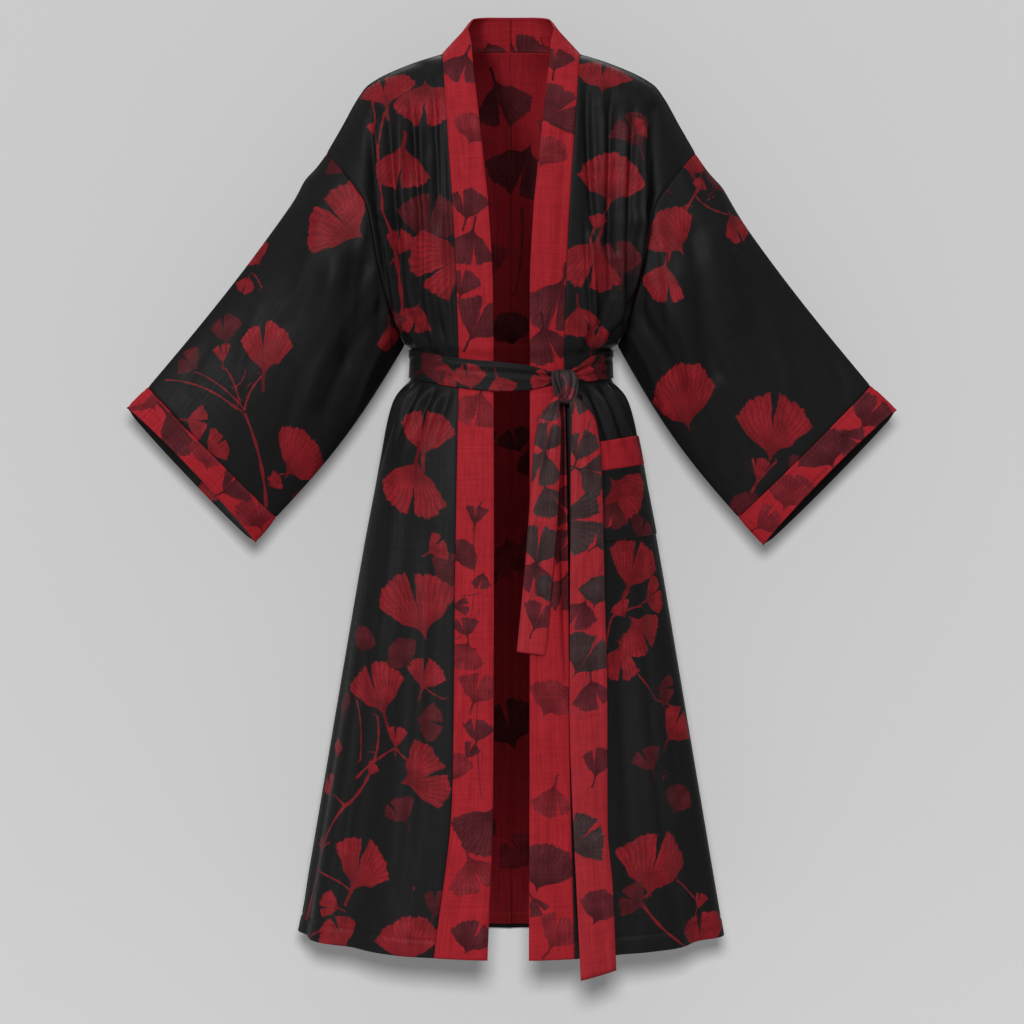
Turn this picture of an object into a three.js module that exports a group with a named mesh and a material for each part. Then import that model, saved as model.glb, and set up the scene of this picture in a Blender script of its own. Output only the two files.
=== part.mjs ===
// A kimono bathrobe, tied with its own belt and filled out as if worn, with nobody in it.
// Sizes are in millimetres. x points to the wearer's left, y to the back and z up.
// The origin is the middle of the shoulder line, where the wearer's shoulders carry the robe.
import * as THREE from 'three';

// Cloth thicknesses and clearances
const PANEL_CLOTH = 2;
const BAND_CLOTH = 3;
const BELT_CLOTH = 2.4;
const SEAM_GAP = 0.3;
const BELT_CLEARANCE = 0.8;
const POCKET_CLEARANCE = 0.4;
const TAIL_CLEARANCE = 1.4;

// Numbers of columns across each piece
const FRONT_COLUMNS = 10;
const NECK_COLUMNS = 4;
const BAND_COLUMNS = 2;
const TAIL_COLUMNS = 3;
const SLEEVE_RINGS = 11;
const CUFF_RINGS = 2;

// Heights are told as a drop below the shoulder point, measured at the side seam.
const ARMPIT_DROP = 422;
const HEM_DROP = 1278;
const BELT_DROP = 450;
const BELT_WIDTH = 41;
const POCKET_TOP = 555;
const POCKET_SEAM = 597;
const POCKET_BOTTOM = 698;
const SKIRT_ROWS = [ARMPIT_DROP, 428, 441, 456, 471, 484, 500, 525, POCKET_TOP, POCKET_SEAM,
  645, POCKET_BOTTOM, 760, 826, 892, 958, 1024, 1090, 1156, 1218, HEM_DROP];

// Shares of the way from the shoulder ridge (0) to the armpit (1) at which the upper body has rows
const YOKE_ROWS = [0, 0.04, 0.11, 0.2, 0.31, 0.43, 0.55, 0.67, 0.79, 0.91, 1];

// The back panel's columns under the neck end at this angle from centre front, in degrees.
const BLADE_TURN = 145;

const SIDES = { left: 1, right: -1 };

// A table is written as the names of its columns and one row of numbers for each section.
function table(columns, rows) {
  const names = columns.split(' ');
  return rows.map((row) => Object.fromEntries(names.map((name, i) => [name, row[i]])));
}

// Rings round the body: half width, depth to the front and to the back, how far the ring
// dips below its side height at centre front and how far it rises above it at centre back
const RINGS = table('drop half front back dip rise', [
  [ARMPIT_DROP, 155, 96, 97, 12, 6],
  [428, 146.5, 88.5, 88.5, 22, 10],
  [BELT_DROP, 145.5, 87.5, 87.5, 24, 11],
  [471, 146.5, 88.5, 88.5, 24, 11],
  [484, 156, 92, 93, 24, 11],
  [511, 170.5, 98, 101, 23, 10],
  [573, 187.5, 106, 112, 20, 7],
  [634, 199, 112, 119, 18, 3],
  [716, 214.5, 118, 126, 17, 0],
  [879, 242, 127, 134, 17, -8],
  [1043, 269, 135, 139, 17, -14],
  [HEM_DROP, 308, 144, 144, 18, -18],
]);

// Front edges of the skirt: distance of the band's seam and of its free edge from the middle
const FRONT_EDGES = {
  left: table('drop seam free', [
    [ARMPIT_DROP, 76, 27],
    [700, 80, 26.5],
    [1043, 84, 26],
    [HEM_DROP, 90, 25],
  ]),
  right: table('drop seam free', [
    [ARMPIT_DROP, 75, 25],
    [700, 79, 24],
    [1043, 83, 25],
    [HEM_DROP, 109, 33],
  ]),
};

// The neckline above the armpit: the band's seam on the front panel and the band's free edge
const NECKLINE = table('share seamX seamY seamZ freeX freeY freeZ', [
  [0, 101, 0, 2, 64, 6, 43],
  [0.04, 100, -17, -6, 60, -10, 27],
  [0.11, 98, -39, -28, 57, -33, 3],
  [0.2, 95, -60, -70, 52, -58, -46],
  [0.31, 91, -76, -122, 45.5, -79, -104],
  [0.43, 87, -86, -180, 38, -91, -171],
  [0.55, 83, -91, -239, 32, -98, -235],
  [0.79, 78, -91, -346, 26, -101, -345],
  [1, 75, -84, -431, 25, -95, -434],
]);

// The back of the neck from centre back (0) to the side of the neck (1)
const NAPE = table('share seamX seamY seamZ freeX freeY freeZ', [
  [0, 0, 75, 18, 0, 64, 68],
  [0.4, 50, 67, 16, 33, 60, 67.5],
  [0.75, 86, 38, 9, 56, 38, 62],
  [1, 101, 0, 2, 64, 6, 43],
]);

// The shoulder ridge from the side of the neck (0) to the top of the sleeve seam (1)
const SHOULDER = table('share x z', [
  [0, 101, 2],
  [0.2, 145, -12],
  [0.5, 208, -43],
  [0.6, 223, -62],
  [0.8, 246, -103],
  [1, 269, -143],
]);

// The sleeve seam from the shoulder (0) down to the armpit (1): one line for both faces,
// with its own depth in front and behind
const ARMHOLE = table('share x z front back', [
  [0, 269, -143, 0, 0],
  [0.04, 261, -152, 15, 15],
  [0.11, 246, -170, 36, 36],
  [0.2, 226, -197, 50, 52],
  [0.31, 207, -227, 57, 62],
  [0.43, 200, -262, 61, 68],
  [0.55, 194, -297, 62, 69],
  [0.67, 186, -332, 58, 64],
  [0.79, 177, -366, 49, 54],
  [0.91, 165, -400, 31, 34],
  [1, 155, -ARMPIT_DROP, 0, 0],
]);

// Lines down the back: at the middle, and below the side of the neck
const SPINE = table('share x y z', [
  [0, 0, 75, 18],
  [0.11, 0, 85, -17],
  [0.31, 0, 97, -96],
  [0.55, 0, 102, -214],
  [0.79, 0, 99, -322],
  [1, 0, 97, -416],
]);
const BLADE = table('share x y z', [
  [0, 101, 0, 2],
  [0.04, 100, 18, -5],
  [0.11, 99, 42, -26],
  [0.2, 98, 62, -62],
  [0.31, 97, 78, -112],
  [0.43, 95, 88, -170],
  [0.55, 94, 93, -228],
  [0.79, 91, 91, -335],
  [1, 89, 80, -418],
]);

// Sleeves: corners of the cuff seam and of the cuff's mouth, on the upper and the under edge
const SLEEVES = {
  left: { seamTop: [523, -483], seamUnder: [331, -674], mouthTop: [559, -517], mouthUnder: [366, -713] },
  right: { seamTop: [528, -485], seamUnder: [342, -674], mouthTop: [557, -514], mouthUnder: [371, -709] },
};
const SLEEVE_FORWARD = 14;
const TOP_SAG = 7;
const UNDER_BULGE = 11;

// Half thickness of the filled sleeve from the armhole (0) to the cuff seam (1)
const SLEEVE_FILL = table('share half', [
  [0, 74],
  [0.15, 74],
  [0.4, 58],
  [0.7, 42],
  [1, 31],
]);
const MOUTH_FILL = 30;

// Soft folds on the upper front and the sleeves, each a line from (x1, z1) to (x2, z2) seen
// from the front. A positive height is a ridge, a negative one a trough.
const FRONT_FOLDS = table('x1 z1 x2 z2 width height', [
  [-124, -20, -146, -190, 11, -5],
  [-103, -54, -120, -150, 9, -3],
  [-188, -110, -176, -237, 13, 7],
  [-176, -237, -152, -390, 12, 6],
  [-197, -90, -202, -240, 10, -6],
  [-120, -240, -112, -400, 12, -4],
  [103, -60, 112, -264, 10, -4],
  [134, -90, 142, -290, 11, -5],
  [158, -90, 150, -300, 10, 4],
  [184, -120, 176, -250, 13, 7],
  [176, -250, 153, -390, 12, 6],
  [205, -85, 204, -230, 10, -6],
  [118, -300, 112, -400, 11, 4],
]);
const BACK_FOLDS = table('x1 z1 x2 z2 width height', [
  [-190, -100, -165, -350, 18, 7],
  [190, -100, 165, -345, 18, 7],
  [-120, -150, -106, -400, 20, -6],
  [128, -130, 110, -400, 20, -6],
  [-40, -220, -46, -350, 22, 4],
  [50, -200, 44, -345, 20, 4],
]);
const SLEEVE_FOLDS = table('x1 z1 x2 z2 width height', [
  [-213, -310, -236, -450, 15, -7],
  [-246, -300, -290, -500, 18, 5],
  [-290, -190, -250, -330, 20, 5],
  [261, -270, 290, -467, 15, -7],
  [236, -330, 262, -470, 14, 5],
  [300, -200, 320, -380, 22, 5],
]);

// Folds of the skirt: the angle from centre front, how wide, how high at the hem and the
// drop where it starts. They are signed as the folds above.
const SKIRT_FOLDS = {
  left: table('turn width height start', [
    [30, 7, -5, 640],
    [47, 8, 7, 520],
    [62, 7, -7, 500],
    [76, 8, 6, 560],
    [104, 9, -7, 520],
    [122, 9, 8, 540],
    [139, 9, -7, 500],
    [159, 10, 7, 520],
  ]),
  right: table('turn width height start', [
    [33, 8, 6, 560],
    [48, 7, -7, 500],
    [64, 8, 7, 520],
    [79, 7, -6, 600],
    [101, 9, 6, 520],
    [117, 9, -8, 500],
    [135, 9, 7, 560],
    [156, 10, -7, 520],
  ]),
};

// The belt narrows towards the knot: degrees from the knot and the share of its width
const KNOT_TURN = 30;
const KNOT_SAG = 9;
const BELT_COLUMNS = 48;
const BELT_END = 3;
const BELT_PINCH = table('away share', [
  [0, 0.34],
  [8, 0.5],
  [22, 0.86],
  [38, 1],
]);

// The knot from its foot up: height above the foot, width, depth, shift to the wearer's left
// and how far its back stands off the belt's face
const KNOT_FOOT = -512;
const KNOT_SIDES = 16;
const KNOT = table('up width depth shift stand', [
  [0, 25, 7, 0, 6.5],
  [6, 31, 11, 0.5, 5.5],
  [20, 36, 16, 0, 2.5],
  [34, 40, 17, -1, 0.5],
  [44, 36, 13, -1.5, 0.5],
  [49, 24, 7, -1, 0.8],
]);

// The belt's hanging ends: height and the two edges
const SHORT_TAIL = table('fall near far lift', [
  [512.6, 50, 67, 5],
  [545, 36, 69, 3],
  [592, 30, 68, 1],
  [663, 25, 65, 0],
  [734, 20, 60, 0],
  [866, 8, 49, 0],
]);
const LONG_TAIL = table('fall near far lift', [
  [512.6, 80, 103, 5],
  [537, 84, 117, 5],
  [592, 82, 124, 5],
  [700, 82, 128, 5],
  [760, 82, 130, 1],
  [932, 82, 136, 0],
  [1117, 88, 138, 0],
  [1196, 92, 145, 0],
  [1319, 98, 150, 0],
]);
const SHORT_TAIL_ROWS = 12;
const LONG_TAIL_ROWS = 24;

// Smooth value of one column where the table's first column is t, without overshoot
function read(rows, column, t) {
  const key = Object.keys(rows[0])[0];
  const last = rows.length - 1;
  const next = rows.findIndex((row) => row[key] > t);
  const i = next === -1 ? last - 1 : Math.max(next - 1, 0);
  const slope = (k) => (rows[k + 1][column] - rows[k][column]) / (rows[k + 1][key] - rows[k][key]);
  const tangent = (k) => {
    if (k === 0) return slope(0);
    if (k === last) return slope(last - 1);
    const product = slope(k - 1) * slope(k);
    return product <= 0 ? 0 : (2 * product) / (slope(k - 1) + slope(k));
  };
  const step = rows[i + 1][key] - rows[i][key];
  const s = THREE.MathUtils.clamp((t - rows[i][key]) / step, 0, 1);
  const rest = 1 - s;
  return rows[i][column] * (1 + 2 * s) * rest * rest
    + tangent(i) * step * s * rest * rest
    + rows[i + 1][column] * (3 - 2 * s) * s * s
    - tangent(i + 1) * step * s * s * rest;
}

const lerp = THREE.MathUtils.lerp;
const point = (x, y, z) => new THREE.Vector3(x, y, z);
const mix = (a, b, t) => a.clone().lerp(b, t);
const smooth = (t) => THREE.MathUtils.smoothstep(t, 0, 1);
const steps = (count) => Array.from({ length: count + 1 }, (_, i) => i / count);

// Outward shift of the skirt's folds, growing from where each starts to the hem
function skirtFold(drop, turn, side) {
  const folds = side > 0 ? SKIRT_FOLDS.left : SKIRT_FOLDS.right;
  return folds.reduce((sum, fold) => {
    const across = Math.exp(-(((turn - fold.turn) / fold.width) ** 2));
    const down = smooth((drop - fold.start) / (HEM_DROP - fold.start));
    return sum + fold.height * across * down;
  }, 0);
}

// A point of the body ring: turn is the angle from centre front by the side to centre back,
// out the distance outwards from the cloth
function ring(drop, turn, side, out = 0) {
  const angle = THREE.MathUtils.degToRad(turn);
  const half = read(RINGS, 'half', drop);
  const inFront = turn < 90;
  const depth = read(RINGS, inFront ? 'front' : 'back', drop);
  const fall = inFront ? read(RINGS, 'dip', drop) : -read(RINGS, 'rise', drop);
  const across = Math.sin(angle);
  const forward = Math.cos(angle);
  const normal = point(across / half, -forward / depth, 0).normalize();
  const base = point(half * across, -depth * forward, -drop - fall * forward ** 2);
  base.addScaledVector(normal, skirtFold(drop, turn, side) + out);
  base.x *= side;
  return base;
}

// The turn at which the ring at this drop is x from the middle
function turnAt(x, drop) {
  return THREE.MathUtils.radToDeg(Math.asin(x / read(RINGS, 'half', drop)));
}

// A point on the front of the skirt, given by where it is seen from the front
function onFront(x, z, side, out) {
  let drop = -z;
  let turn = 0;
  for (let pass = 0; pass < 4; pass += 1) {
    const known = Math.min(drop, HEM_DROP);
    turn = turnAt(Math.abs(x), known);
    const forward = Math.cos(THREE.MathUtils.degToRad(turn));
    drop = -z - read(RINGS, 'dip', known) * forward ** 2;
  }
  const found = ring(Math.min(drop, HEM_DROP), turn, side, out);
  found.z = z;
  return found;
}

// A patch between four edges: the edges are kept and the inside follows them
function patch(top, bottom, left, right, across, down) {
  return down.map((v) => across.map((u) => {
    const corner = mix(mix(left(0), right(0), u), mix(left(1), right(1), u), v);
    return mix(top(u), bottom(u), v).add(mix(left(v), right(v), u)).sub(corner);
  }));
}

// Outward shift of the soft folds at a place seen from the front or the back
function foldShift(folds, p) {
  return folds.reduce((sum, fold) => {
    const run = point(fold.x2 - fold.x1, 0, fold.z2 - fold.z1);
    const from = point(p.x - fold.x1, 0, p.z - fold.z1);
    const along = THREE.MathUtils.clamp(from.dot(run) / run.lengthSq(), 0, 1);
    const away = from.addScaledVector(run, -along).length();
    return sum + fold.height * Math.exp(-((away / fold.width) ** 2));
  }, 0);
}

// Lines that panels share
const shoulder = (side) => (u) => point(side * read(SHOULDER, 'x', u), 0, read(SHOULDER, 'z', u));

function armhole(side, face) {
  const depth = face < 0 ? 'front' : 'back';
  return (v) => point(
    side * read(ARMHOLE, 'x', v), face * read(ARMHOLE, depth, v), read(ARMHOLE, 'z', v));
}

const column = (rows, name, side) => (v) => point(
  side * read(rows, `${name}X`, v), read(rows, `${name}Y`, v), read(rows, `${name}Z`, v));

const backLine = (rows, side) => (v) => point(
  side * read(rows, 'x', v), read(rows, 'y', v), read(rows, 'z', v));

// The line ends exactly at the target, and its upper part is left as it is
function meeting(line, target) {
  const miss = target.clone().sub(line(1));
  return (v) => line(v).addScaledVector(miss, v ** 3);
}

function edgeTurn(side, edge, drop) {
  const edges = side > 0 ? FRONT_EDGES.left : FRONT_EDGES.right;
  return turnAt(read(edges, edge, drop), drop);
}

const neckEdge = (side, edge) => meeting(
  column(NECKLINE, edge, side), ring(ARMPIT_DROP, edgeTurn(side, edge, ARMPIT_DROP), side));

const bladeLine = (side) => meeting(backLine(BLADE, side), ring(ARMPIT_DROP, BLADE_TURN, side));
const spineLine = (side) => meeting(backLine(SPINE, side), ring(ARMPIT_DROP, 180, side));

// A sheet holds a grid of points on the outside of the cloth and its outward normals.
function sheet(points, { closed = false, inside = (p) => point(0, 0, p.z) } = {}) {
  const rowCount = points.length;
  const columnCount = points[0].length;
  const normals = points.map((row, i) => row.map((_, j) => {
    const up = points[Math.max(i - 1, 0)][j];
    const down = points[Math.min(i + 1, rowCount - 1)][j];
    const before = closed ? row[(j + columnCount - 1) % columnCount] : row[Math.max(j - 1, 0)];
    const after = closed ? row[(j + 1) % columnCount] : row[Math.min(j + 1, columnCount - 1)];
    return down.clone().sub(up).cross(after.clone().sub(before)).normalize();
  }));
  const facing = points.reduce((sum, row, i) => sum + row.reduce(
    (part, p, j) => part + normals[i][j].dot(p.clone().sub(inside(p, i))), 0), 0);
  if (facing < 0) normals.flat().forEach((normal) => normal.negate());
  return { points, normals, closed };
}

// Moves a sheet's inner points along its normals, and leaves its edges on their seams
function crease(cloth, folds) {
  const edge = (i, j) => i === 0 || i === cloth.points.length - 1
    || (!cloth.closed && (j === 0 || j === cloth.points[0].length - 1));
  cloth.points.forEach((row, i) => row.forEach((p, j) => {
    if (!edge(i, j)) p.addScaledVector(cloth.normals[i][j], foldShift(folds, p));
  }));
}

// Sheets that meet at a seam get the same normal there, so that their walls meet too.
function shareNormals(sheets) {
  const sums = new Map();
  const keyOf = (p) => p.toArray().map((value) => Math.round(value * 20)).join();
  const each = (visit) => sheets.forEach((cloth) => cloth.points.forEach(
    (row, i) => row.forEach((p, j) => visit(keyOf(p), cloth.normals[i][j]))));
  each((key, normal) => {
    if (!sums.has(key)) sums.set(key, point(0, 0, 0));
    sums.get(key).add(normal);
  });
  each((key, normal) => normal.copy(sums.get(key)).normalize());
}

// Turns every face over if they point inwards
function faceOut(positions, faces) {
  const volume = faces.reduce((sum, [a, b, c]) => sum + positions[a].dot(
    positions[b].clone().cross(positions[c])), 0);
  return volume < 0 ? faces.map(([a, b, c]) => [a, c, b]) : faces;
}

function solid(positions, faces) {
  const geometry = new THREE.BufferGeometry();
  const numbers = positions.flatMap((p) => p.toArray());
  geometry.setAttribute('position', new THREE.Float32BufferAttribute(numbers, 3));
  geometry.setIndex(faceOut(positions, faces).flat());
  geometry.computeVertexNormals();
  return geometry;
}

// A wall of cloth: the sheet, a copy of it one thickness further in, and rims round its edges.
// Each edge is drawn back by half a seam gap.
function wall(cloth, thickness) {
  const { points, normals, closed } = cloth;
  const rowCount = points.length;
  const columnCount = points[0].length;
  const outer = points.map((row, i) => row.map((p, j) => {
    const drawn = p.clone();
    const pull = (q) => drawn.addScaledVector(q.clone().sub(p).normalize(), SEAM_GAP / 2);
    if (i === 0) pull(points[1][j]);
    if (i === rowCount - 1) pull(points[rowCount - 2][j]);
    if (!closed && j === 0) pull(row[1]);
    if (!closed && j === columnCount - 1) pull(row[columnCount - 2]);
    return drawn;
  }));
  const inner = outer.map((row, i) => row.map(
    (p, j) => p.clone().addScaledVector(normals[i][j], -thickness)));
  const positions = [...outer.flat(), ...inner.flat()];
  const below = rowCount * columnCount;
  const at = (i, j) => i * columnCount + (j % columnCount);
  const faces = [];
  const quad = (a, b, c, d) => faces.push([a, b, c], [a, c, d]);
  const rim = (a, b) => quad(a, b, b + below, a + below);
  const spans = closed ? columnCount : columnCount - 1;
  for (let i = 0; i < rowCount - 1; i += 1) {
    for (let j = 0; j < spans; j += 1) {
      quad(at(i, j), at(i + 1, j), at(i + 1, j + 1), at(i, j + 1));
      quad(at(i, j + 1) + below, at(i + 1, j + 1) + below, at(i + 1, j) + below, at(i, j) + below);
    }
    if (!closed) {
      rim(at(i + 1, 0), at(i, 0));
      rim(at(i, columnCount - 1), at(i + 1, columnCount - 1));
    }
  }
  for (let j = 0; j < spans; j += 1) {
    rim(at(0, j), at(0, j + 1));
    rim(at(rowCount - 1, j + 1), at(rowCount - 1, j));
  }
  return solid(positions, faces);
}

// A closed lump through a stack of rings
function lump(rings) {
  const count = rings[0].length;
  const middle = (points) => points.reduce((sum, p) => sum.add(p), point(0, 0, 0)).divideScalar(count);
  const positions = [...rings.flat(), middle(rings[0]), middle(rings.at(-1))];
  const foot = rings.length * count;
  const faces = [];
  for (let j = 0; j < count; j += 1) {
    const k = (j + 1) % count;
    for (let i = 0; i < rings.length - 1; i += 1) {
      faces.push([i * count + j, i * count + k, (i + 1) * count + k]);
      faces.push([i * count + j, (i + 1) * count + k, (i + 1) * count + j]);
    }
    const top = (rings.length - 1) * count;
    faces.push([k, j, foot], [top + j, top + k, foot + 1]);
  }
  return solid(positions, faces);
}

// Front panel: the yoke down to the armpit, then the skirt
function frontPanel(side) {
  const across = steps(FRONT_COLUMNS);
  const turn = (drop, u) => lerp(edgeTurn(side, 'seam', drop), 90, u);
  const yoke = patch(shoulder(side), (u) => ring(ARMPIT_DROP, turn(ARMPIT_DROP, u), side),
    neckEdge(side, 'seam'), armhole(side, -1), across, YOKE_ROWS);
  const skirt = SKIRT_ROWS.slice(1).map((drop) => across.map((u) => ring(drop, turn(drop, u), side)));
  return sheet([...yoke, ...skirt]);
}

// Back panel: a part under the neck and a part under the shoulder, in one cloth
function backPanel(side) {
  const neck = steps(NECK_COLUMNS);
  const across = steps(FRONT_COLUMNS);
  const inner = patch(column(NAPE, 'seam', side),
    (u) => ring(ARMPIT_DROP, lerp(180, BLADE_TURN, u), side),
    spineLine(side), bladeLine(side), neck, YOKE_ROWS);
  const outer = patch(shoulder(side), (u) => ring(ARMPIT_DROP, lerp(BLADE_TURN, 90, u), side),
    bladeLine(side), armhole(side, 1), across, YOKE_ROWS);
  const turns = [...neck.slice(0, -1).map((u) => lerp(180, BLADE_TURN, u)),
    ...across.map((u) => lerp(BLADE_TURN, 90, u))];
  const yoke = inner.map((row, i) => [...row.slice(0, -1), ...outer[i]]);
  const skirt = SKIRT_ROWS.slice(1).map((drop) => turns.map((turn) => ring(drop, turn, side)));
  return sheet([...yoke, ...skirt]);
}

// Front band: round the back of the neck, down the neckline and down the skirt's edge
function frontBand(side) {
  const across = steps(BAND_COLUMNS);
  const strip = (seam, free, share) => across.map((u) => mix(seam(share), free(share), u));
  const nape = steps(NECK_COLUMNS).slice(0, -1).map(
    (share) => strip(column(NAPE, 'seam', side), column(NAPE, 'free', side), share));
  const neck = YOKE_ROWS.slice(0, -1).map(
    (share) => strip(neckEdge(side, 'seam'), neckEdge(side, 'free'), share));
  const skirt = SKIRT_ROWS.map((drop) => across.map(
    (u) => ring(drop, lerp(edgeTurn(side, 'seam', drop), edgeTurn(side, 'free', drop), u), side)));
  return sheet([...nape, ...neck, ...skirt]);
}

// One ring of the sleeve between an upper and an under edge point. Near the armhole it keeps
// the seam's line, further down it is a flattened oval.
function sleeveRing(side, top, under, share, half) {
  const loose = smooth(share / 0.24);
  const face = (sign) => YOKE_ROWS.map((w) => {
    const seam = armhole(side, sign)(w);
    const chord = mix(armhole(side, sign)(0), armhole(side, sign)(1), w);
    const p = mix(top, under, w).addScaledVector(seam.sub(chord), 1 - loose);
    p.y += loose * sign * half * Math.sin(Math.PI * w) ** 0.72;
    return p;
  });
  return [...face(-1), ...face(1).reverse().slice(1, -1)];
}

const middleOf = (row) => row.reduce((sum, p) => sum.add(p), point(0, 0, 0)).divideScalar(row.length);

function sleeveAndCuff(side) {
  const name = side > 0 ? 'left' : 'right';
  const corner = (key) => point(side * SLEEVES[name][key][0], -SLEEVE_FORWARD, SLEEVES[name][key][1]);
  const start = [armhole(side, 1)(0), armhole(side, 1)(1)];
  const run = (from, to, share, bow) => {
    const aside = point(side * 0.62, 0, 0.79).multiplyScalar(bow * Math.sin(Math.PI * share));
    return mix(from, to, share).add(aside);
  };
  const sleeveRings = steps(SLEEVE_RINGS).map((share) => sleeveRing(side,
    run(start[0], corner('seamTop'), share, -TOP_SAG),
    run(start[1], corner('seamUnder'), share, -UNDER_BULGE), share, read(SLEEVE_FILL, 'half', share)));
  const cuffRings = steps(CUFF_RINGS).map((share) => sleeveRing(side,
    mix(corner('seamTop'), corner('mouthTop'), share), mix(corner('seamUnder'), corner('mouthUnder'), share),
    1, lerp(read(SLEEVE_FILL, 'half', 1), MOUTH_FILL, share)));
  const tube = (rings) => sheet(rings, { closed: true, inside: (_, i) => middleOf(rings[i]) });
  return { sleeve: tube(sleeveRings), cuff: tube(cuffRings) };
}

// A copy of some rows and columns of a panel, moved out to lie on it
function layOn(cloth, rows, columns, out) {
  const [top, bottom] = rows;
  const [near, far] = columns;
  return sheet(cloth.points.slice(top, bottom + 1).map((row, i) => row.slice(near, far + 1).map(
    (p, j) => p.clone().addScaledVector(cloth.normals[top + i][near + j], out))));
}

// The belt goes once round the waist from one side of the knot to the other.
function waistBelt() {
  const start = KNOT_TURN - BELT_END;
  const sweep = 360 - 2 * BELT_END;
  const columns = steps(BELT_COLUMNS).map((share) => {
    const angle = start - sweep * share;
    const away = Math.min(start + BELT_END - angle, sweep + BELT_END - (start - angle));
    const turn = Math.abs(THREE.MathUtils.euclideanModulo(angle + 180, 360) - 180);
    const side = THREE.MathUtils.euclideanModulo(angle, 360) < 180 ? 1 : -1;
    const pinch = read(BELT_PINCH, 'share', away);
    return [-0.5, 0, 0.5].map((edge) => {
      const drop = BELT_DROP + edge * BELT_WIDTH * pinch + KNOT_SAG * (1 - pinch);
      return ring(drop, turn, side, BELT_CLEARANCE + BELT_CLOTH);
    });
  });
  return sheet([0, 1, 2].map((i) => columns.map((points) => points[i])));
}

// The knot sits on the belt and is flat where it does.
function knot() {
  const seat = ring(BELT_DROP, KNOT_TURN, 1, BELT_CLEARANCE + BELT_CLOTH);
  const half = read(RINGS, 'half', BELT_DROP);
  const depth = read(RINGS, 'front', BELT_DROP);
  const angle = THREE.MathUtils.degToRad(KNOT_TURN);
  const normal = point(Math.sin(angle) / half, -Math.cos(angle) / depth, 0).normalize();
  const along = point(-normal.y, normal.x, 0);
  const rings = KNOT.map((row) => steps(KNOT_SIDES).slice(0, -1).map((share) => {
    const turn = 2 * Math.PI * share;
    const across = Math.sign(Math.cos(turn)) * Math.abs(Math.cos(turn)) ** 0.7 * row.width / 2;
    const out = (0.5 + 0.5 * Math.sin(turn)) ** 0.8 * row.depth;
    const p = point(seat.x, seat.y, KNOT_FOOT + row.up);
    return p.addScaledVector(along, across + row.shift).addScaledVector(normal, out + row.stand);
  }));
  return lump(rings);
}

// A hanging end of the belt, lying against the front of the skirt
function tail(rows, count) {
  const first = rows[0].fall;
  const last = rows.at(-1).fall;
  const points = steps(count).map((share) => {
    const fall = lerp(first, last, share);
    const out = TAIL_CLEARANCE + BELT_CLOTH + read(rows, 'lift', fall);
    return steps(TAIL_COLUMNS).map((u) => {
      const x = lerp(read(rows, 'near', fall), read(rows, 'far', fall), u);
      return onFront(x, -fall, 1, out);
    });
  });
  return sheet(points);
}

const finish = (color, roughness) => new THREE.MeshStandardMaterial({ color, roughness, metalness: 0 });
const PRINT = finish(0x2a2021, 0.82);
const REVERSE = finish(0x96282e, 0.85);
const BELT = finish(0x6e2329, 0.8);

// Sheets of both sides are made first, so that neighbours can share their normals.
const robe = Object.fromEntries(Object.entries(SIDES).map(([name, side]) => [name, {
  front: frontPanel(side),
  back: backPanel(side),
  band: frontBand(side),
  ...sleeveAndCuff(side),
}]));
for (const half of Object.values(robe)) {
  crease(half.front, FRONT_FOLDS);
  crease(half.back, BACK_FOLDS);
  crease(half.sleeve, SLEEVE_FOLDS);
}
shareNormals(Object.values(robe).flatMap((half) => Object.values(half)));

const pieces = [];
for (const [name, half] of Object.entries(robe)) {
  pieces.push([`front_${name}`, wall(half.front, PANEL_CLOTH), PRINT]);
  pieces.push([`back_${name}`, wall(half.back, PANEL_CLOTH), PRINT]);
  pieces.push([`sleeve_${name}`, wall(half.sleeve, PANEL_CLOTH), PRINT]);
  pieces.push([`cuff_${name}`, wall(half.cuff, BAND_CLOTH), REVERSE]);
  pieces.push([`band_${name}`, wall(half.band, BAND_CLOTH), REVERSE]);
}

// The patch pocket lies on the left front between the second column and the last but one.
const rowOf = (drop) => YOKE_ROWS.length - 1 + SKIRT_ROWS.indexOf(drop);
const pocketColumns = [1, FRONT_COLUMNS - 1];
const pocketOut = POCKET_CLEARANCE + PANEL_CLOTH;
const pocketPiece = (top, bottom) => layOn(
  robe.left.front, [rowOf(top), rowOf(bottom)], pocketColumns, pocketOut);
const pocketBand = pocketPiece(POCKET_TOP, POCKET_SEAM);
const pocketBag = pocketPiece(POCKET_SEAM, POCKET_BOTTOM);
shareNormals([pocketBand, pocketBag]);
pieces.push(['pocket', wall(pocketBag, PANEL_CLOTH), PRINT]);
pieces.push(['pocket_band', wall(pocketBand, PANEL_CLOTH), REVERSE]);

pieces.push(['belt', wall(waistBelt(), BELT_CLOTH), BELT]);
pieces.push(['belt_knot', knot(), BELT]);
pieces.push(['belt_tail_short', wall(tail(SHORT_TAIL, SHORT_TAIL_ROWS), BELT_CLOTH), BELT]);
pieces.push(['belt_tail_long', wall(tail(LONG_TAIL, LONG_TAIL_ROWS), BELT_CLOTH), BELT]);

const bathrobe = new THREE.Group();
for (const [name, geometry, material] of pieces) {
  const mesh = new THREE.Mesh(geometry, material);
  mesh.name = name;
  bathrobe.add(mesh);
}

export default bathrobe;
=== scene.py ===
# %% [markdown]
# # A kimono bathrobe in two-faced cloth
#
# The real robe is cut as flat pieces and sewn: two fronts, a back with a seam down its middle,
# two wide sleeves with turned-up cuffs, a long band round the neck and down both fronts, a
# patch pocket and a belt. The cloth is near black with red leaves on one face and red with
# dark leaves on the other. Each sewn piece is made here as its own thin shell, on the lines of
# the fixed CAD model, and gets what plain solids leave out: gathers, creases, weave, print and
# stitching. One solid body would be quicker, but a robe is open, and its inside shows.

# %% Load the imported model
import math

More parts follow.
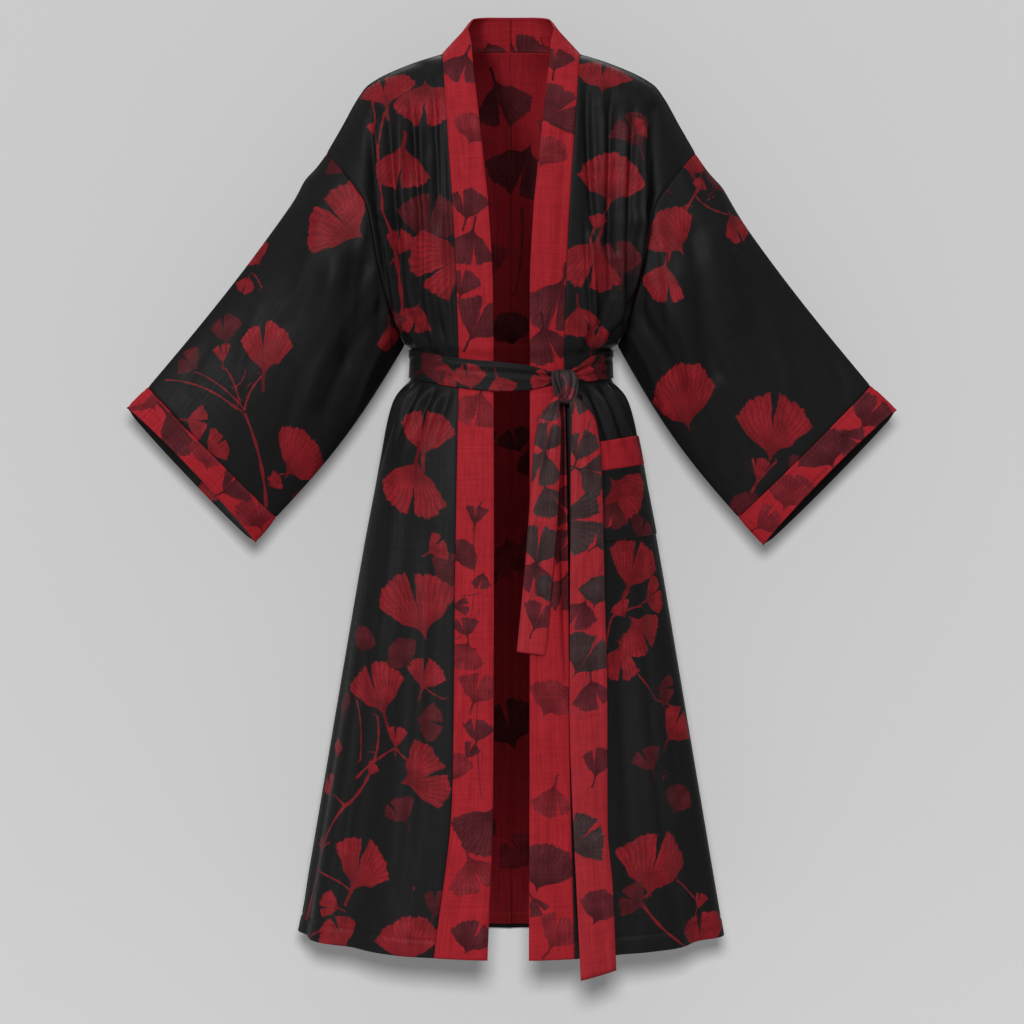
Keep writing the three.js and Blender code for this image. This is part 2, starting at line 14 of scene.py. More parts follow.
import bpy
import numpy as np
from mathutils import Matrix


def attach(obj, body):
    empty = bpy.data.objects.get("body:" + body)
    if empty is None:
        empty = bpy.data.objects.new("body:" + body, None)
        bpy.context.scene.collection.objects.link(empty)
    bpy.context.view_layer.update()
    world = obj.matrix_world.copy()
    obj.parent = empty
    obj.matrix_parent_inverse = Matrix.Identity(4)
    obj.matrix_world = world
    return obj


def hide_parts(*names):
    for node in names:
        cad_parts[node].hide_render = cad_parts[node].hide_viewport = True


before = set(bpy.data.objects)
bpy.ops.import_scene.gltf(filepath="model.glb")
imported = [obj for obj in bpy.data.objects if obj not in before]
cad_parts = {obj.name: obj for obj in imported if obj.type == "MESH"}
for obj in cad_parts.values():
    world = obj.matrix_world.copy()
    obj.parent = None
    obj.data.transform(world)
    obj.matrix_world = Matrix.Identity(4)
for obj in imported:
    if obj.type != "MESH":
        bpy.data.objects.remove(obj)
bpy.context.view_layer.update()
MM = 0.001
SIDES = {"left": 1, "right": -1}


def placed(name, data, location=(0, 0, 0), turned=(0, 0, 0)):
    """A new object in the scene with this data, its place in metres and its turn in degrees."""
    thing = bpy.data.objects.new(name, data)
    thing.location, thing.rotation_euler = location, [math.radians(angle) for angle in turned]
    bpy.context.scene.collection.objects.link(thing)
    return thing


# %% [markdown]
# ## Camera
#
# A garment is photographed from far away with a long lens, so that its sleeves and hem keep
# their proportions. The camera stands 3.7 m in front, level, at half the height of the robe.

# %% Camera
VIEW_X, VIEW_Y, VIEW_Z = 1.4, -3695.0, -666.0
LENS, SENSOR, PICTURE = 89.0, 36.0, 1024
FOCAL = LENS / SENSOR * PICTURE
MIDDLE = PICTURE / 2

camera = placed("camera", bpy.data.cameras.new("camera"),
                (VIEW_X * MM, VIEW_Y * MM, VIEW_Z * MM), (90, 0, 0))
camera.data.lens, camera.data.sensor_width = LENS, SENSOR
bpy.context.scene.camera = camera


def seen(points, face=-1):
    """Where points in mm fall in the picture, in pixels: the sideways and upward distance from
    the view's middle times the focal length over the distance. Face 1 looks from behind."""
    flip = -face
    distance = points[..., 1] * flip - VIEW_Y
    across = (points[..., 0] * flip - VIEW_X) * FOCAL / distance
    down = (VIEW_Z - points[..., 2]) * FOCAL / distance
    return np.stack([MIDDLE + across, MIDDLE + down], -1)


print("one pixel at the front of the robe is", round((-100 - VIEW_Y) / FOCAL, 2), "mm")

# %% [markdown]
# ## Smooth tables
#
# A tailor's pattern gives a few measures and a smooth line between them. Each table below is
# such a set: the first column says where, the others what. A cubic curve joins the rows and
# never swings past them, so a seam line has no bumps that nobody drew.

# %% Reading a table
def smooth(t):
    """Eases from 0 to 1: three t squared less two t cubed, held at both ends."""
    t = np.clip(t, 0, 1)
    return t * t * (3 - 2 * t)


def blend(a, b, t):
    """The share t of the way from a to b."""
    return a + (b - a) * t


def bell(distance, width):
    """A bell curve: 1 in its middle, and 0.37 at the width."""
    return np.exp(-((distance / width) ** 2))


def eased(count):
    """Shares from 0 to 1 by a half cosine, which crowd near both ends."""
    return 0.5 - 0.5 * np.cos(np.pi * np.linspace(0, 1, count))


def unit(vectors):
    """The same directions at length one."""
    return vectors / np.maximum(np.linalg.norm(vectors, axis=-1, keepdims=True), 1e-9)


def read(rows, place):
    """A table's values at a place: a cubic between two rows, whose slope at each row is the
    harmonic mean of the slopes beside it, and nought where they differ in sign."""
    rows = np.asarray(rows, float)
    x, y = rows[:, 0], rows[:, 1:]
    slope = np.diff(y, axis=0) / np.diff(x)[:, None]
    product, total = slope[:-1] * slope[1:], slope[:-1] + slope[1:]
    inner = np.where(product > 0, 2 * product / np.where(total == 0, 1, total), 0)
    tangent = np.vstack([slope[:1], inner, slope[-1:]])
    place = np.asarray(place, float)
    i = np.clip(np.searchsorted(x, place, side="right") - 1, 0, len(x) - 2)
    step = (x[i + 1] - x[i])[..., None]
    s = np.clip((place - x[i])[..., None] / step, 0, 1)
    rest = 1 - s
    return (y[i] * (1 + 2 * s) * rest**2 + tangent[i] * step * s * rest**2
            + y[i + 1] * (3 - 2 * s) * s**2 - tangent[i + 1] * step * s**2 * rest)


def trace(rows, share, side, mirrored=0):
    """A seam line in space from a table of x, y and z columns, mirrored for the other side."""
    line = read(rows, share)[..., :3].copy()
    line[..., mirrored] *= side
    return line


# %% [markdown]
# ## The body of the robe as rings
#
# From the armpit down, the robe is a stack of flattened rings. The belt draws it in at the
# waist, the hips fill it, and the skirt flares to the hem. A point is told by its drop below
# the shoulder and its turn, the angle from centre front by the side to centre back.

# %% Rings of the body
ARMPIT, HEM = 422, 1278
RINGS = [  # drop, half width, depth in front and behind, dip in front, rise behind, mm
    [ARMPIT, 155, 96, 97, 12, 6],
    [428, 146.5, 88.5, 88.5, 22, 10],
    [450, 145.5, 87.5, 87.5, 24, 11],
    [471, 146.5, 88.5, 88.5, 24, 11],
    [484, 156, 92, 93, 24, 11],
    [511, 170.5, 98, 101, 23, 10],
    [573, 187.5, 106, 112, 20, 7],
    [634, 199, 112, 119, 18, 3],
    [716, 214.5, 118, 126, 17, 0],
    [879, 242, 127, 134, 17, -8],
    [1043, 269, 135, 139, 17, -14],
    [HEM, 308, 144, 144, 18, -18],
]
SKIRT_FOLDS = {  # turn, width in degrees, height at the hem, drop where it starts
    1: [(30, 7, -5, 640), (47, 8, 7, 520), (62, 7, -7, 500), (76, 8, 6, 560),
        (104, 9, -7, 520), (122, 9, 8, 540), (139, 9, -7, 500), (159, 10, 7, 520)],
    -1: [(33, 8, 6, 560), (48, 7, -7, 500), (64, 8, 7, 520), (79, 7, -6, 600),
         (101, 9, 6, 520), (117, 9, -8, 500), (135, 9, 7, 560), (156, 10, -7, 520)],
}


def ring(drop, turn, side, out=0.0):
    """A point of the body: half width times the sine of the turn, depth times its cosine, and
    the drop plus the dip times the cosine squared, moved out along the ring's normal."""
    drop, turn = np.broadcast_arrays(np.asarray(drop, float), np.asarray(turn, float))
    half, front, back, dip, rise = np.moveaxis(read(RINGS, drop), -1, 0)
    across, forward = np.sin(np.radians(turn)), np.cos(np.radians(turn))
    depth = np.where(turn < 90, front, back)
    fall = np.where(turn < 90, dip, -rise)
    push = out + sum(
        height * bell(turn - at, width) * smooth((drop - start) / (HEM - start))
        for at, width, height, start in SKIRT_FOLDS[side])
    normal = unit(np.stack([across / half, -forward / depth], -1))
    x = half * across + normal[..., 0] * push
    y = -depth * forward + normal[..., 1] * push
    return np.stack([side * x, y, -drop - fall * forward**2], -1)


def body_place(points):
    """The drop and turn of any point of the body: the turn is the angle whose tangent is x over
    the half width divided by the depth share, and the drop takes the dip off again."""
    low = np.clip(-points[..., 2], ARMPIT, HEM)
    half, front, back, dip, rise = np.moveaxis(read(RINGS, low), -1, 0)
    ahead = points[..., 1] < 0
    depth = np.where(ahead, front, back)
    turn = np.degrees(np.arctan2(np.abs(points[..., 0]) / half, -points[..., 1] / depth))
    fall = np.where(ahead, dip, -rise)
    return -points[..., 2] - fall * np.cos(np.radians(turn)) ** 2, turn


print("ring at the belt:", np.round(ring(450, [0, 90, 180], 1)).tolist())

# %% [markdown]
# ## The seam lines
#
# Panels that are sewn together share one line. The shoulder ridge, the sleeve seam, the
# neckline and the two front edges are such lines, and every piece that meets there reads the
# same table, so no gap can open between them.

# %% Seam lines
SHOULDER = [[0, 101, 2], [0.2, 145, -12], [0.5, 208, -43], [0.6, 223, -62], [0.8, 246, -103],
            [1, 269, -143]]  # share, x, z
ARMHOLE = [  # share, x, z, depth in front and behind
    [0, 269, -143, 0, 0], [0.04, 261, -152, 15, 15], [0.11, 246, -170, 36, 36],
    [0.2, 226, -197, 50, 52], [0.31, 207, -227, 57, 62], [0.43, 200, -262, 61, 68],
    [0.55, 194, -297, 62, 69], [0.67, 186, -332, 58, 64], [0.79, 177, -366, 49, 54],
    [0.91, 165, -400, 31, 34], [1, 155, -ARMPIT, 0, 0]]
NECKLINE = [  # share, x y z of the band's seam, x y z of its free edge
    [0, 101, 0, 2, 64, 6, 43], [0.04, 100, -17, -6, 60, -10, 27],
    [0.11, 98, -39, -28, 57, -33, 3], [0.2, 95, -60, -70, 52, -58, -46],
    [0.31, 91, -76, -122, 45.5, -79, -104], [0.43, 87, -86, -180, 38, -91, -171],
    [0.55, 83, -91, -239, 32, -98, -235], [0.79, 78, -91, -346, 26, -101, -345],
    [1, 75, -84, -431, 25, -95, -434]]
NAPE = [  # the same from centre back to the side of the neck
    [0, 0, 75, 18, 0, 64, 68], [0.4, 50, 67, 16, 33, 60, 67.5],
    [0.75, 86, 38, 9, 56, 38, 62], [1, 101, 0, 2, 64, 6, 43]]
SPINE = [[0, 0, 75, 18], [0.11, 0, 85, -17], [0.31, 0, 97, -96], [0.55, 0, 102, -214],
         [0.79, 0, 99, -322], [1, 0, 97, -416]]
BLADE = [[0, 101, 0, 2], [0.04, 100, 18, -5], [0.11, 99, 42, -26], [0.2, 98, 62, -62],
         [0.31, 97, 78, -112], [0.43, 95, 88, -170], [0.55, 94, 93, -228],
         [0.79, 91, 91, -335], [1, 89, 80, -418]]
BLADE_TURN = 145
SEAM, FREE = 0, 1
NECK_COLUMNS = ([0, 1, 2, 3], [0, 4, 5, 6])  # of the seam and of the free edge
FRONT_EDGES = {  # drop, distance of the band's seam and of its free edge from the middle
    1: [[ARMPIT, 76, 27], [700, 80, 26.5], [1043, 84, 26], [HEM, 90, 25]],
    -1: [[ARMPIT, 75, 25], [700, 79, 24], [1043, 83, 25], [HEM, 109, 33]],
}


def edge_turn(side, edge, drop):
    """The turn of a front edge: the angle whose sine is its distance over the half width."""
    distance = read(FRONT_EDGES[side], drop)[..., edge]
    return np.degrees(np.arcsin(distance / read(RINGS, drop)[..., 0]))


def meeting(line, share, end):
    """The line with its lower end drawn onto a point: what it misses by, times share cubed."""
    return line + (end - line[-1]) * share[:, None] ** 3


def shoulder(side, share):
    """The shoulder ridge, where y is nought."""
    x, z = np.moveaxis(read(SHOULDER, share), -1, 0)
    return np.stack([side * x, 0 * x, z], -1)


def armhole(side, face, share):
    """The sleeve seam in front (face -1) or behind (face 1)."""
    x, z, front, back = np.moveaxis(read(ARMHOLE, share), -1, 0)
    return np.stack([side * x, face * (front if face < 0 else back), z], -1)


def neck_edge(side, edge, share):
    """The band's seam or free edge down the neckline, ending on the ring at the armpit."""
    line = trace(np.asarray(NECKLINE)[:, NECK_COLUMNS[edge]], share, side)
    return meeting(line, share, ring(ARMPIT, edge_turn(side, edge, ARMPIT), side))


def nape(side, edge, share):
    """The band's seam or free edge round the back of the neck."""
    return trace(np.asarray(NAPE)[:, NECK_COLUMNS[edge]], share, side)


def between_edges(top, bottom, left, right, u, v):
    """A patch between four lines: the mean of top and bottom by v, plus the mean of left and
    right by u, less the mean of the four corners."""
    u, v = u[None, :, None], v[:, None, None]
    corners = blend(blend(left[0], right[0], u), blend(left[-1], right[-1], u), v)
    return blend(top[None], bottom[None], v) + blend(left[:, None], right[:, None], u) - corners


# %% [markdown]
# ## Grids for the panels
#
# Each panel is a grid of points: shares across it times shares down it. Lines crowd near the
# seams, because a seam pulls a narrow valley into the cloth there, and stand wider apart in
# the middle.

# %% Panel grids
def crowded(count, near):
    """Shares from 0 to 1 with extra ones near both ends."""
    inner = np.linspace(near[-1], 1 - near[-1], count)
    near = np.asarray(near)
    return np.concatenate([near[:-1], inner, 1 - near[:-1][::-1]])


ACROSS = crowded(84, [0, 0.006, 0.013, 0.022])
NECK_ACROSS = crowded(24, [0, 0.03])
YOKE = np.concatenate([[0, 0.004, 0.01, 0.018], np.linspace(0.028, 1, 96)])
SKIRT = np.concatenate([np.linspace(ARMPIT, 520, 56)[1:], np.linspace(520, 1240, 120)[1:],
                        np.linspace(1240, HEM, 20)[1:]])


def front_grid(side):
    """Front panel: a patch between shoulder, neckline and sleeve seam, then rings to the hem."""
    low_turn = blend(edge_turn(side, SEAM, ARMPIT), 90, ACROSS)
    upper = between_edges(shoulder(side, ACROSS), ring(ARMPIT, low_turn, side),
                          neck_edge(side, SEAM, YOKE), armhole(side, -1, YOKE), ACROSS, YOKE)
    turn = blend(edge_turn(side, SEAM, SKIRT)[:, None], 90, ACROSS[None, :])
    return np.concatenate([upper, ring(SKIRT[:, None], turn, side)])


def back_grid(side):
    """Back panel: a patch under the neck beside one under the shoulder, then rings."""
    spine = meeting(trace(SPINE, YOKE, side), YOKE, ring(ARMPIT, 180, side))
    blade = meeting(trace(BLADE, YOKE, side), YOKE, ring(ARMPIT, BLADE_TURN, side))
    neck_turn, side_turn = blend(180, BLADE_TURN, NECK_ACROSS), blend(BLADE_TURN, 90, ACROSS)
    inner = between_edges(nape(side, SEAM, NECK_ACROSS), ring(ARMPIT, neck_turn, side),
                          spine, blade, NECK_ACROSS, YOKE)
    outer = between_edges(shoulder(side, ACROSS), ring(ARMPIT, side_turn, side),
                          blade, armhole(side, 1, YOKE), ACROSS, YOKE)
    turn = np.concatenate([neck_turn[:-1], side_turn])
    yoke = np.concatenate([inner[:, :-1], outer], axis=1)
    return np.concatenate([yoke, ring(SKIRT[:, None], turn[None, :], side)])


BAND_ACROSS = eased(20)


def band_grid(side):
    """Front band: straight from its seam to its free edge at every height."""
    around = np.linspace(0, 1, 50)[:-1]
    seam = np.concatenate([nape(side, SEAM, around), neck_edge(side, SEAM, YOKE)[:-1]])
    free = np.concatenate([nape(side, FREE, around), neck_edge(side, FREE, YOKE)[:-1]])
    upper = blend(seam[:, None], free[:, None], BAND_ACROSS[None, :, None])
    drops = np.concatenate([[ARMPIT], SKIRT])
    turn = blend(edge_turn(side, SEAM, drops)[:, None], edge_turn(side, FREE, drops)[:, None],
                 BAND_ACROSS[None, :])
    return np.concatenate([upper, ring(drops[:, None], turn, side)])


# %% [markdown]
# ## Sleeves
#
# A kimono sleeve is a wide straight tube on a dropped shoulder, folded along its top and sewn
# along its under edge. Filled out, it leaves the armhole as a round tube and flattens towards
# the cuff. The grid starts and ends at the under seam, as the real cut does.

# %% Sleeve and cuff grids
SLEEVES = {  # x and z of the cuff's seam and mouth, on the upper and the under edge
    1: ((523, -483), (331, -674), (559, -517), (366, -713)),
    -1: ((528, -485), (342, -674), (557, -514), (371, -709)),
}
SLEEVE_FORWARD, TOP_SAG, UNDER_BULGE, MOUTH_FILL = 14, 7, 11, 30
SLEEVE_FILL = [[0, 74], [0.15, 74], [0.4, 58], [0.7, 42], [1, 31]]
HALF_ROUND = eased(64)
SLEEVE_ALONG = np.concatenate([[0, 0.006, 0.012, 0.02], np.linspace(0.03, 0.985, 100), [0.993, 1]])
CUFF_ALONG = eased(22)


def sleeve_rings(side, top, under, share, half):
    """Rings of the sleeve: straight from the upper to the under edge, plus the bow of the sleeve
    seam near the armhole, plus a swell of the half thickness times a sine to the power 0.72."""
    loose = smooth(share / 0.24)[:, None, None]
    faces = []
    for face, w in ((-1, HALF_ROUND[::-1]), (1, HALF_ROUND[1:])):
        seam = armhole(side, face, w)
        chord = blend(armhole(side, face, np.array([0.0])), armhole(side, face, np.array([1.0])),
                      w[:, None])
        rows = blend(top[:, None], under[:, None], w[None, :, None]) + (seam - chord) * (1 - loose)
        swell = face * half[:, None] * np.clip(np.sin(np.pi * w), 0, 1)[None] ** 0.72
        rows[..., 1] += loose[..., 0] * swell
        faces.append(rows)
    return np.concatenate(faces, axis=1)


def sleeve_grids(side):
    """The sleeve down to the cuff's seam, and the cuff from there to its mouth."""
    corners = [np.array([side * x, -SLEEVE_FORWARD, z]) for x, z in SLEEVES[side]]
    seam_top, seam_under, mouth_top, mouth_under = corners
    start_top, start_under = armhole(side, 1, np.array([0.0, 1.0]))
    bow = np.array([side * 0.62, 0, 0.79]) * np.sin(np.pi * SLEEVE_ALONG)[:, None]
    along = SLEEVE_ALONG[:, None]
    sleeve = sleeve_rings(side, blend(start_top, seam_top, along) - TOP_SAG * bow,
                          blend(start_under, seam_under, along) - UNDER_BULGE * bow,
                          SLEEVE_ALONG, read(SLEEVE_FILL, SLEEVE_ALONG)[:, 0])
    along = CUFF_ALONG[:, None]
    cuff = sleeve_rings(side, blend(seam_top, mouth_top, along),
                        blend(seam_under, mouth_under, along), 1 + 0 * CUFF_ALONG,
                        blend(SLEEVE_FILL[-1][1], MOUTH_FILL, CUFF_ALONG))
    return sleeve, cuff


# %% [markdown]
# ## Folds
#
# Cloth that hangs from a shoulder or is drawn in by a belt falls into folds. They could come
# from a cloth simulation, but this robe hangs in known folds, so they are listed. A fold
# is a soft ridge or trough along a bowed line, and its depth and width differ each time.

# %% Fold helpers
PIXEL = 1.42  # what one pixel measures on the front, mm


def normals_of(grid):
    """Unit normals: the cross product of the step down the grid and the step across it."""
    down, across = np.gradient(grid, axis=0), np.gradient(grid, axis=1)
    return unit(np.cross(down, across))


def outward(grid, inside):
    """The normals, all turned over if they point to the inside points on the whole."""
    normal = normals_of(grid)
    return normal if np.sum(normal * (grid - inside)) > 0 else -normal


def runs(grid, axis):
    """Distance along the rows or the columns from where they start, in mm."""
    step = np.linalg.norm(np.diff(grid, axis=axis), axis=-1)
    pad = [(0, 0), (0, 0)]
    pad[axis] = (1, 0)
    return np.cumsum(np.pad(step, pad), axis=axis)


def to_edges(grid):
    """Distances in mm along the grid to its top, bottom, left and right edge."""
    down, across = runs(grid, 0), runs(grid, 1)
    return {"t": down, "b": down[-1:] - down, "l": across, "r": across[:, -1:] - across}


def edge_fade(grid, reach, sides="tblr"):
    """1 inside the piece, easing to 0 within reach of the named edges."""
    away = to_edges(grid)
    fade = np.ones(grid.shape[:2])
    for edge in sides:
        fade = fade * smooth(away[edge] / reach)
    return fade


def seam_valley(grid, depth, width, sides):
    """The valley a seam pulls into the cloth: minus the depth times a bell of the distance."""
    away = to_edges(grid)
    return -sum(depth * bell(away[edge], width) for edge in sides)


def drawn_folds(grid, rows, face):
    """Folds drawn as seen from one face: height times a bell of the distance from a bowed line,
    times a sine of the share along it, so that each fold dies out at both ends."""
    spot = seen(grid, face)
    facing = smooth(normals_of_face(grid, face) * 2.2)
    total = np.zeros(grid.shape[:2])
    for x1, y1, x2, y2, bow, width, height in rows:
        run = np.array([x2 - x1, y2 - y1], float)
        length = np.hypot(*run)
        run /= length
        from_start = spot - [x1, y1]
        share = from_start @ run / length
        offset = from_start @ np.array([-run[1], run[0]]) - bow * 4 * share * (1 - share)
        ends = np.sin(np.pi * np.clip(share, 0, 1)) ** 0.6
        total += height * ends * bell(offset * PIXEL, width)
    return total * facing


def normals_of_face(grid, face):
    """How far the cloth faces forwards (face -1) or backwards (face 1), from 0 to 1."""
    turned = normals_of(grid)[..., 1]
    turned = turned * np.sign(np.sum(turned * grid[..., 1]) or 1)
    return np.clip(face * turned, 0, 1)


def flat_folds(grid, rows):
    """Folds that run through front and back alike: height times a bell of the distance from a
    straight line from x1, z1 to x2, z2 as seen from the front, in mm."""
    total = np.zeros(grid.shape[:2])
    flat = grid[..., [0, 2]]
    for x1, z1, x2, z2, width, height in rows:
        run = np.array([x2 - x1, z2 - z1], float)
        share = np.clip((flat - [x1, z1]) @ run / (run @ run), 0, 1)
        away = np.linalg.norm(flat - [x1, z1] - share[..., None] * run, axis=-1)
        total += height * bell(away, width)
    return total


def gathers(grid, rows):
    """Gathers round the body: height times a bell of the turn, which leans a little with the
    drop, times an ease in from where it starts to its peak and out again to its end."""
    drop, turn = body_place(grid)
    total = np.zeros(grid.shape[:2])
    for at, lean, width, height, start, peak, end in rows:
        middle = at + lean * (drop - peak) / 100
        window = smooth((drop - start) / (peak - start)) * (1 - smooth((drop - peak) / (end - peak)))
        total += height * window * bell(turn - middle, width)
    return total


# %% Tables of folds
FRONT_FOLDS = [  # the large soft ones, x1 z1 x2 z2 width height in mm
    (-124, -20, -146, -190, 11, -5), (-103, -54, -120, -150, 9, -3),
    (-188, -110, -176, -237, 13, 7), (-176, -237, -152, -390, 12, 6),
    (-197, -90, -202, -240, 10, -6), (-120, -240, -112, -400, 12, -4),
    (103, -60, 112, -264, 10, -4), (134, -90, 142, -290, 11, -5),
    (158, -90, 150, -300, 10, 4), (184, -120, 176, -250, 13, 7),
    (176, -250, 153, -390, 12, 6), (205, -85, 204, -230, 10, -6),
    (118, -300, 112, -400, 11, 4)]
BACK_FOLDS = [
    (-190, -100, -165, -350, 18, 7), (190, -100, 165, -345, 18, 7),
    (-120, -150, -106, -400, 20, -6), (128, -130, 110, -400, 20, -6),
    (-40, -220, -46, -350, 22, 4), (50, -200, 44, -345, 20, 4)]
SLEEVE_FOLDS = [
    (-213, -310, -236, -450, 15, -7), (-246, -300, -290, -500, 18, 5),
    (-290, -190, -250, -330, 20, 5), (261, -270, 290, -467, 15, -7),
    (236, -330, 262, -470, 14, 5), (300, -200, 320, -380, 22, 5)]
FRONT_CREASES = [  # the narrow ones as seen: x1 y1 x2 y2 bow in pixels, width height in mm
    (377, 112, 403, 330, 5, 5, 5), (369, 118, 394, 345, 4, 6, -5),
    (388, 100, 410, 345, 3, 5, -4.5), (399, 84, 414, 290, 4, 6, 3),
    (408, 82, 421, 300, -3, 5, -4), (420, 80, 428, 250, 3, 6, 3.5),
    (431, 76, 438, 235, -2, 5, -4), (443, 90, 452, 345, 2, 5, -2.5),
    (424, 230, 436, 352, 3, 6, 3), (412, 280, 428, 352, -3, 5, -3.5),
    (588, 78, 597, 250, 3, 5, -4), (600, 78, 606, 240, -3, 6, 3.5),
    (613, 84, 612, 300, 4, 5, -4), (624, 92, 619, 330, -4, 6, 3.5),
    (634, 104, 626, 345, 3, 5, -5), (643, 118, 632, 330, -4, 5, 5),
    (651, 126, 640, 335, -3, 6, -5), (592, 240, 600, 345, 3, 5, 3),
    (584, 220, 590, 345, -2, 4, -3), (565, 372, 570, 700, 2, 6.5, -9),
    (574, 600, 582, 956, 1, 7, -4), (640, 560, 668, 900, 8, 12, 3.5),
    (620, 560, 640, 940, 6, 12, -3), (396, 470, 352, 800, -8, 13, 3.5),
    (428, 520, 396, 940, -5, 12, -3), (372, 600, 330, 930, -5, 10, -3)]
BACK_CREASES = [
    (375, 110, 402, 330, 5, 7, -5), (392, 95, 412, 330, -4, 7, 4),
    (425, 110, 438, 345, 5, 8, -4), (455, 150, 462, 350, -4, 9, 4),
    (481, 120, 490, 345, 3, 8, -3.5), (538, 140, 531, 345, -4, 9, -4),
    (563, 110, 556, 340, 4, 9, 3.5), (592, 100, 581, 345, -5, 8, -4),
    (618, 95, 604, 335, 4, 7, 4), (640, 112, 622, 330, 5, 7, -5)]
SLEEVE_CREASES = {
    -1: [(395, 290, 318, 430, 8, 8, -4.5), (392, 250, 290, 445, 10, 9, 3.5),
         (352, 150, 292, 320, 6, 11, 2.5), (381, 190, 376, 345, -6, 6, -5),
         (372, 200, 352, 350, 5, 7, 3.5), (262, 300, 232, 420, 5, 9, 2),
         (340, 240, 236, 372, -9, 11, -2.5), (398, 318, 352, 428, 5, 5, 3),
         (328, 330, 276, 470, 7, 8, -2.5), (212, 340, 182, 402, 3, 7, -2),
         (624, 292, 694, 430, -8, 8, -4.5), (628, 246, 722, 440, -9, 9, 3.5),
         (668, 146, 724, 306, -6, 11, 2.5), (642, 190, 648, 345, 6, 6, -5),
         (652, 200, 670, 350, -5, 7, 3.5), (764, 306, 796, 420, -5, 9, 2.5),
         (690, 238, 792, 372, 9, 11, -2.5), (622, 322, 668, 424, -5, 5, 3),
         (700, 330, 752, 472, -7, 8, -2.5), (822, 342, 846, 398, -3, 7, -2)],
    1: [(394, 286, 324, 420, 9, 8, -4), (385, 230, 300, 400, -8, 9, 3.5),
        (350, 170, 280, 330, 7, 12, 3), (300, 260, 232, 400, -6, 10, -2.5),
        (626, 296, 702, 424, -9, 8, -4.5), (636, 240, 716, 410, 8, 10, 3.5),
        (676, 170, 738, 320, -6, 12, 2.5), (722, 270, 790, 396, 7, 10, -3)]}
GATHERS = {  # turn, lean per 100 mm, width, height, start, peak, end
    1: [(36, 2, 2.6, -3.5, 471, 500, 620), (42, 4, 2.4, 3.5, 472, 496, 560),
        (47.5, 3, 2.2, -4.5, 471, 494, 640), (53, 5, 2.6, 5, 472, 500, 600),
        (59.5, 4, 2.4, -5, 471, 496, 590), (65.5, 6, 2.8, 4.5, 472, 498, 640),
        (72, 3, 2.4, -4, 471, 492, 560), (79, 2, 3, 4, 472, 500, 610),
        (88, 1, 3.2, -3.5, 471, 500, 640), (98, 0, 3, 3.5, 472, 498, 580),
        (108, -1, 3.4, -4, 471, 500, 650), (118, 1, 3, 3, 472, 494, 570),
        (129, -2, 3.6, -4, 471, 502, 640), (141, 0, 3.2, 3.5, 472, 498, 600),
        (153, -1, 3.6, -3.5, 471, 500, 660), (166, 1, 3.4, 3, 472, 496, 580),
        (40, -3, 2.4, 3, 340, 405, 429), (46, -4, 2.6, -3.5, 300, 400, 429),
        (55, -3, 2.8, 3.5, 330, 404, 429), (63, -2, 2.6, -4, 290, 398, 429),
        (73, -3, 3, 3, 340, 405, 429), (112, 2, 3.6, -4, 280, 398, 429),
        (124, 3, 3.2, 3.5, 330, 402, 429), (137, 1, 3.8, -4, 290, 398, 429),
        (150, 2, 3.4, 3, 340, 404, 429), (163, 0, 3.8, -3, 300, 400, 429)],
    -1: [(35, 3, 2.4, -3, 471, 498, 580), (40.5, 4, 2.6, 3.5, 472, 498, 640),
         (46.5, 3, 2.2, -4, 471, 492, 560), (52.5, 5, 2.8, 4, 472, 500, 620),
         (60, 4, 2.4, -4, 471, 494, 600), (67, 3, 2.6, 3.5, 472, 498, 570),
         (74.5, 4, 2.8, -3.5, 471, 496, 640), (83, 1, 3, 3.5, 472, 500, 600),
         (93, 0, 3.2, -4, 471, 500, 660), (104, 1, 3, 3.5, 472, 496, 570),
         (114, -2, 3.4, -3.5, 471, 498, 620), (125, 0, 3.2, 3.5, 472, 500, 640),
         (136, 1, 3.4, -4, 471, 496, 590), (148, -1, 3.4, 3, 472, 500, 610),
         (160, 0, 3.8, -3.5, 471, 498, 660), (171, 1, 3.2, 2.5, 472, 494, 560),
         (38, -4, 2.6, -3, 320, 402, 429), (45, -3, 2.4, 3, 350, 406, 429),
         (53, -4, 2.8, -3.5, 300, 400, 429), (62, -2, 2.8, 3.5, 330, 404, 429),
         (71, -3, 3, -3.5, 310, 402, 429), (110, 1, 3.4, 3.5, 320, 404, 429),
         (122, 2, 3.6, -4, 290, 400, 429), (134, 3, 3.4, 3.5, 330, 404, 429),
         (147, 1, 3.8, -4, 280, 398, 429), (160, 2, 3.4, 3, 340, 404, 429)],
}
CREASES_BY, BAND_CREASES_BY, GATHERS_BY = 1.9, 1.5, 1.3  # how much deeper they are than above
SEAM_FADE = 14  # how near a seam the folds of a panel begin to die out, mm
SEAM_DEPTH, SEAM_WIDTH = 0.8, 2.4  # of the valley along a seam, mm
HEM_DEPTH, HEM_STEP, HEM_VALLEY = 24, 0.6, 1.1  # of the turned-up hem, mm
RIPPLE_HEIGHT, RIPPLE_REACH = 1.3, 90  # of the hem's slow ripple, mm
HEM_TURN = 8  # how far the hem's turned edge shows on the inside, mm
print("folds in all:", sum(map(len, (FRONT_FOLDS, BACK_FOLDS, SLEEVE_FOLDS, FRONT_CREASES,
      BACK_CREASES, SLEEVE_CREASES[-1], SLEEVE_CREASES[1], GATHERS[1], GATHERS[-1]))))


# %% [markdown]
# ## From a grid to a piece of cloth
#
# The outer face is the grid, pushed in and out by its folds. The inner face lies one cloth
# thickness further in, and both join at the edges, which are rounded where the cloth is
# turned over, as on a band. Two faces with their own material slots are chosen over a bare
# surface, because the robe is black outside and red inside.

# %% Shell builder
THIN_EDGE = 0.12  # share of the thickness that is left at a rounded edge


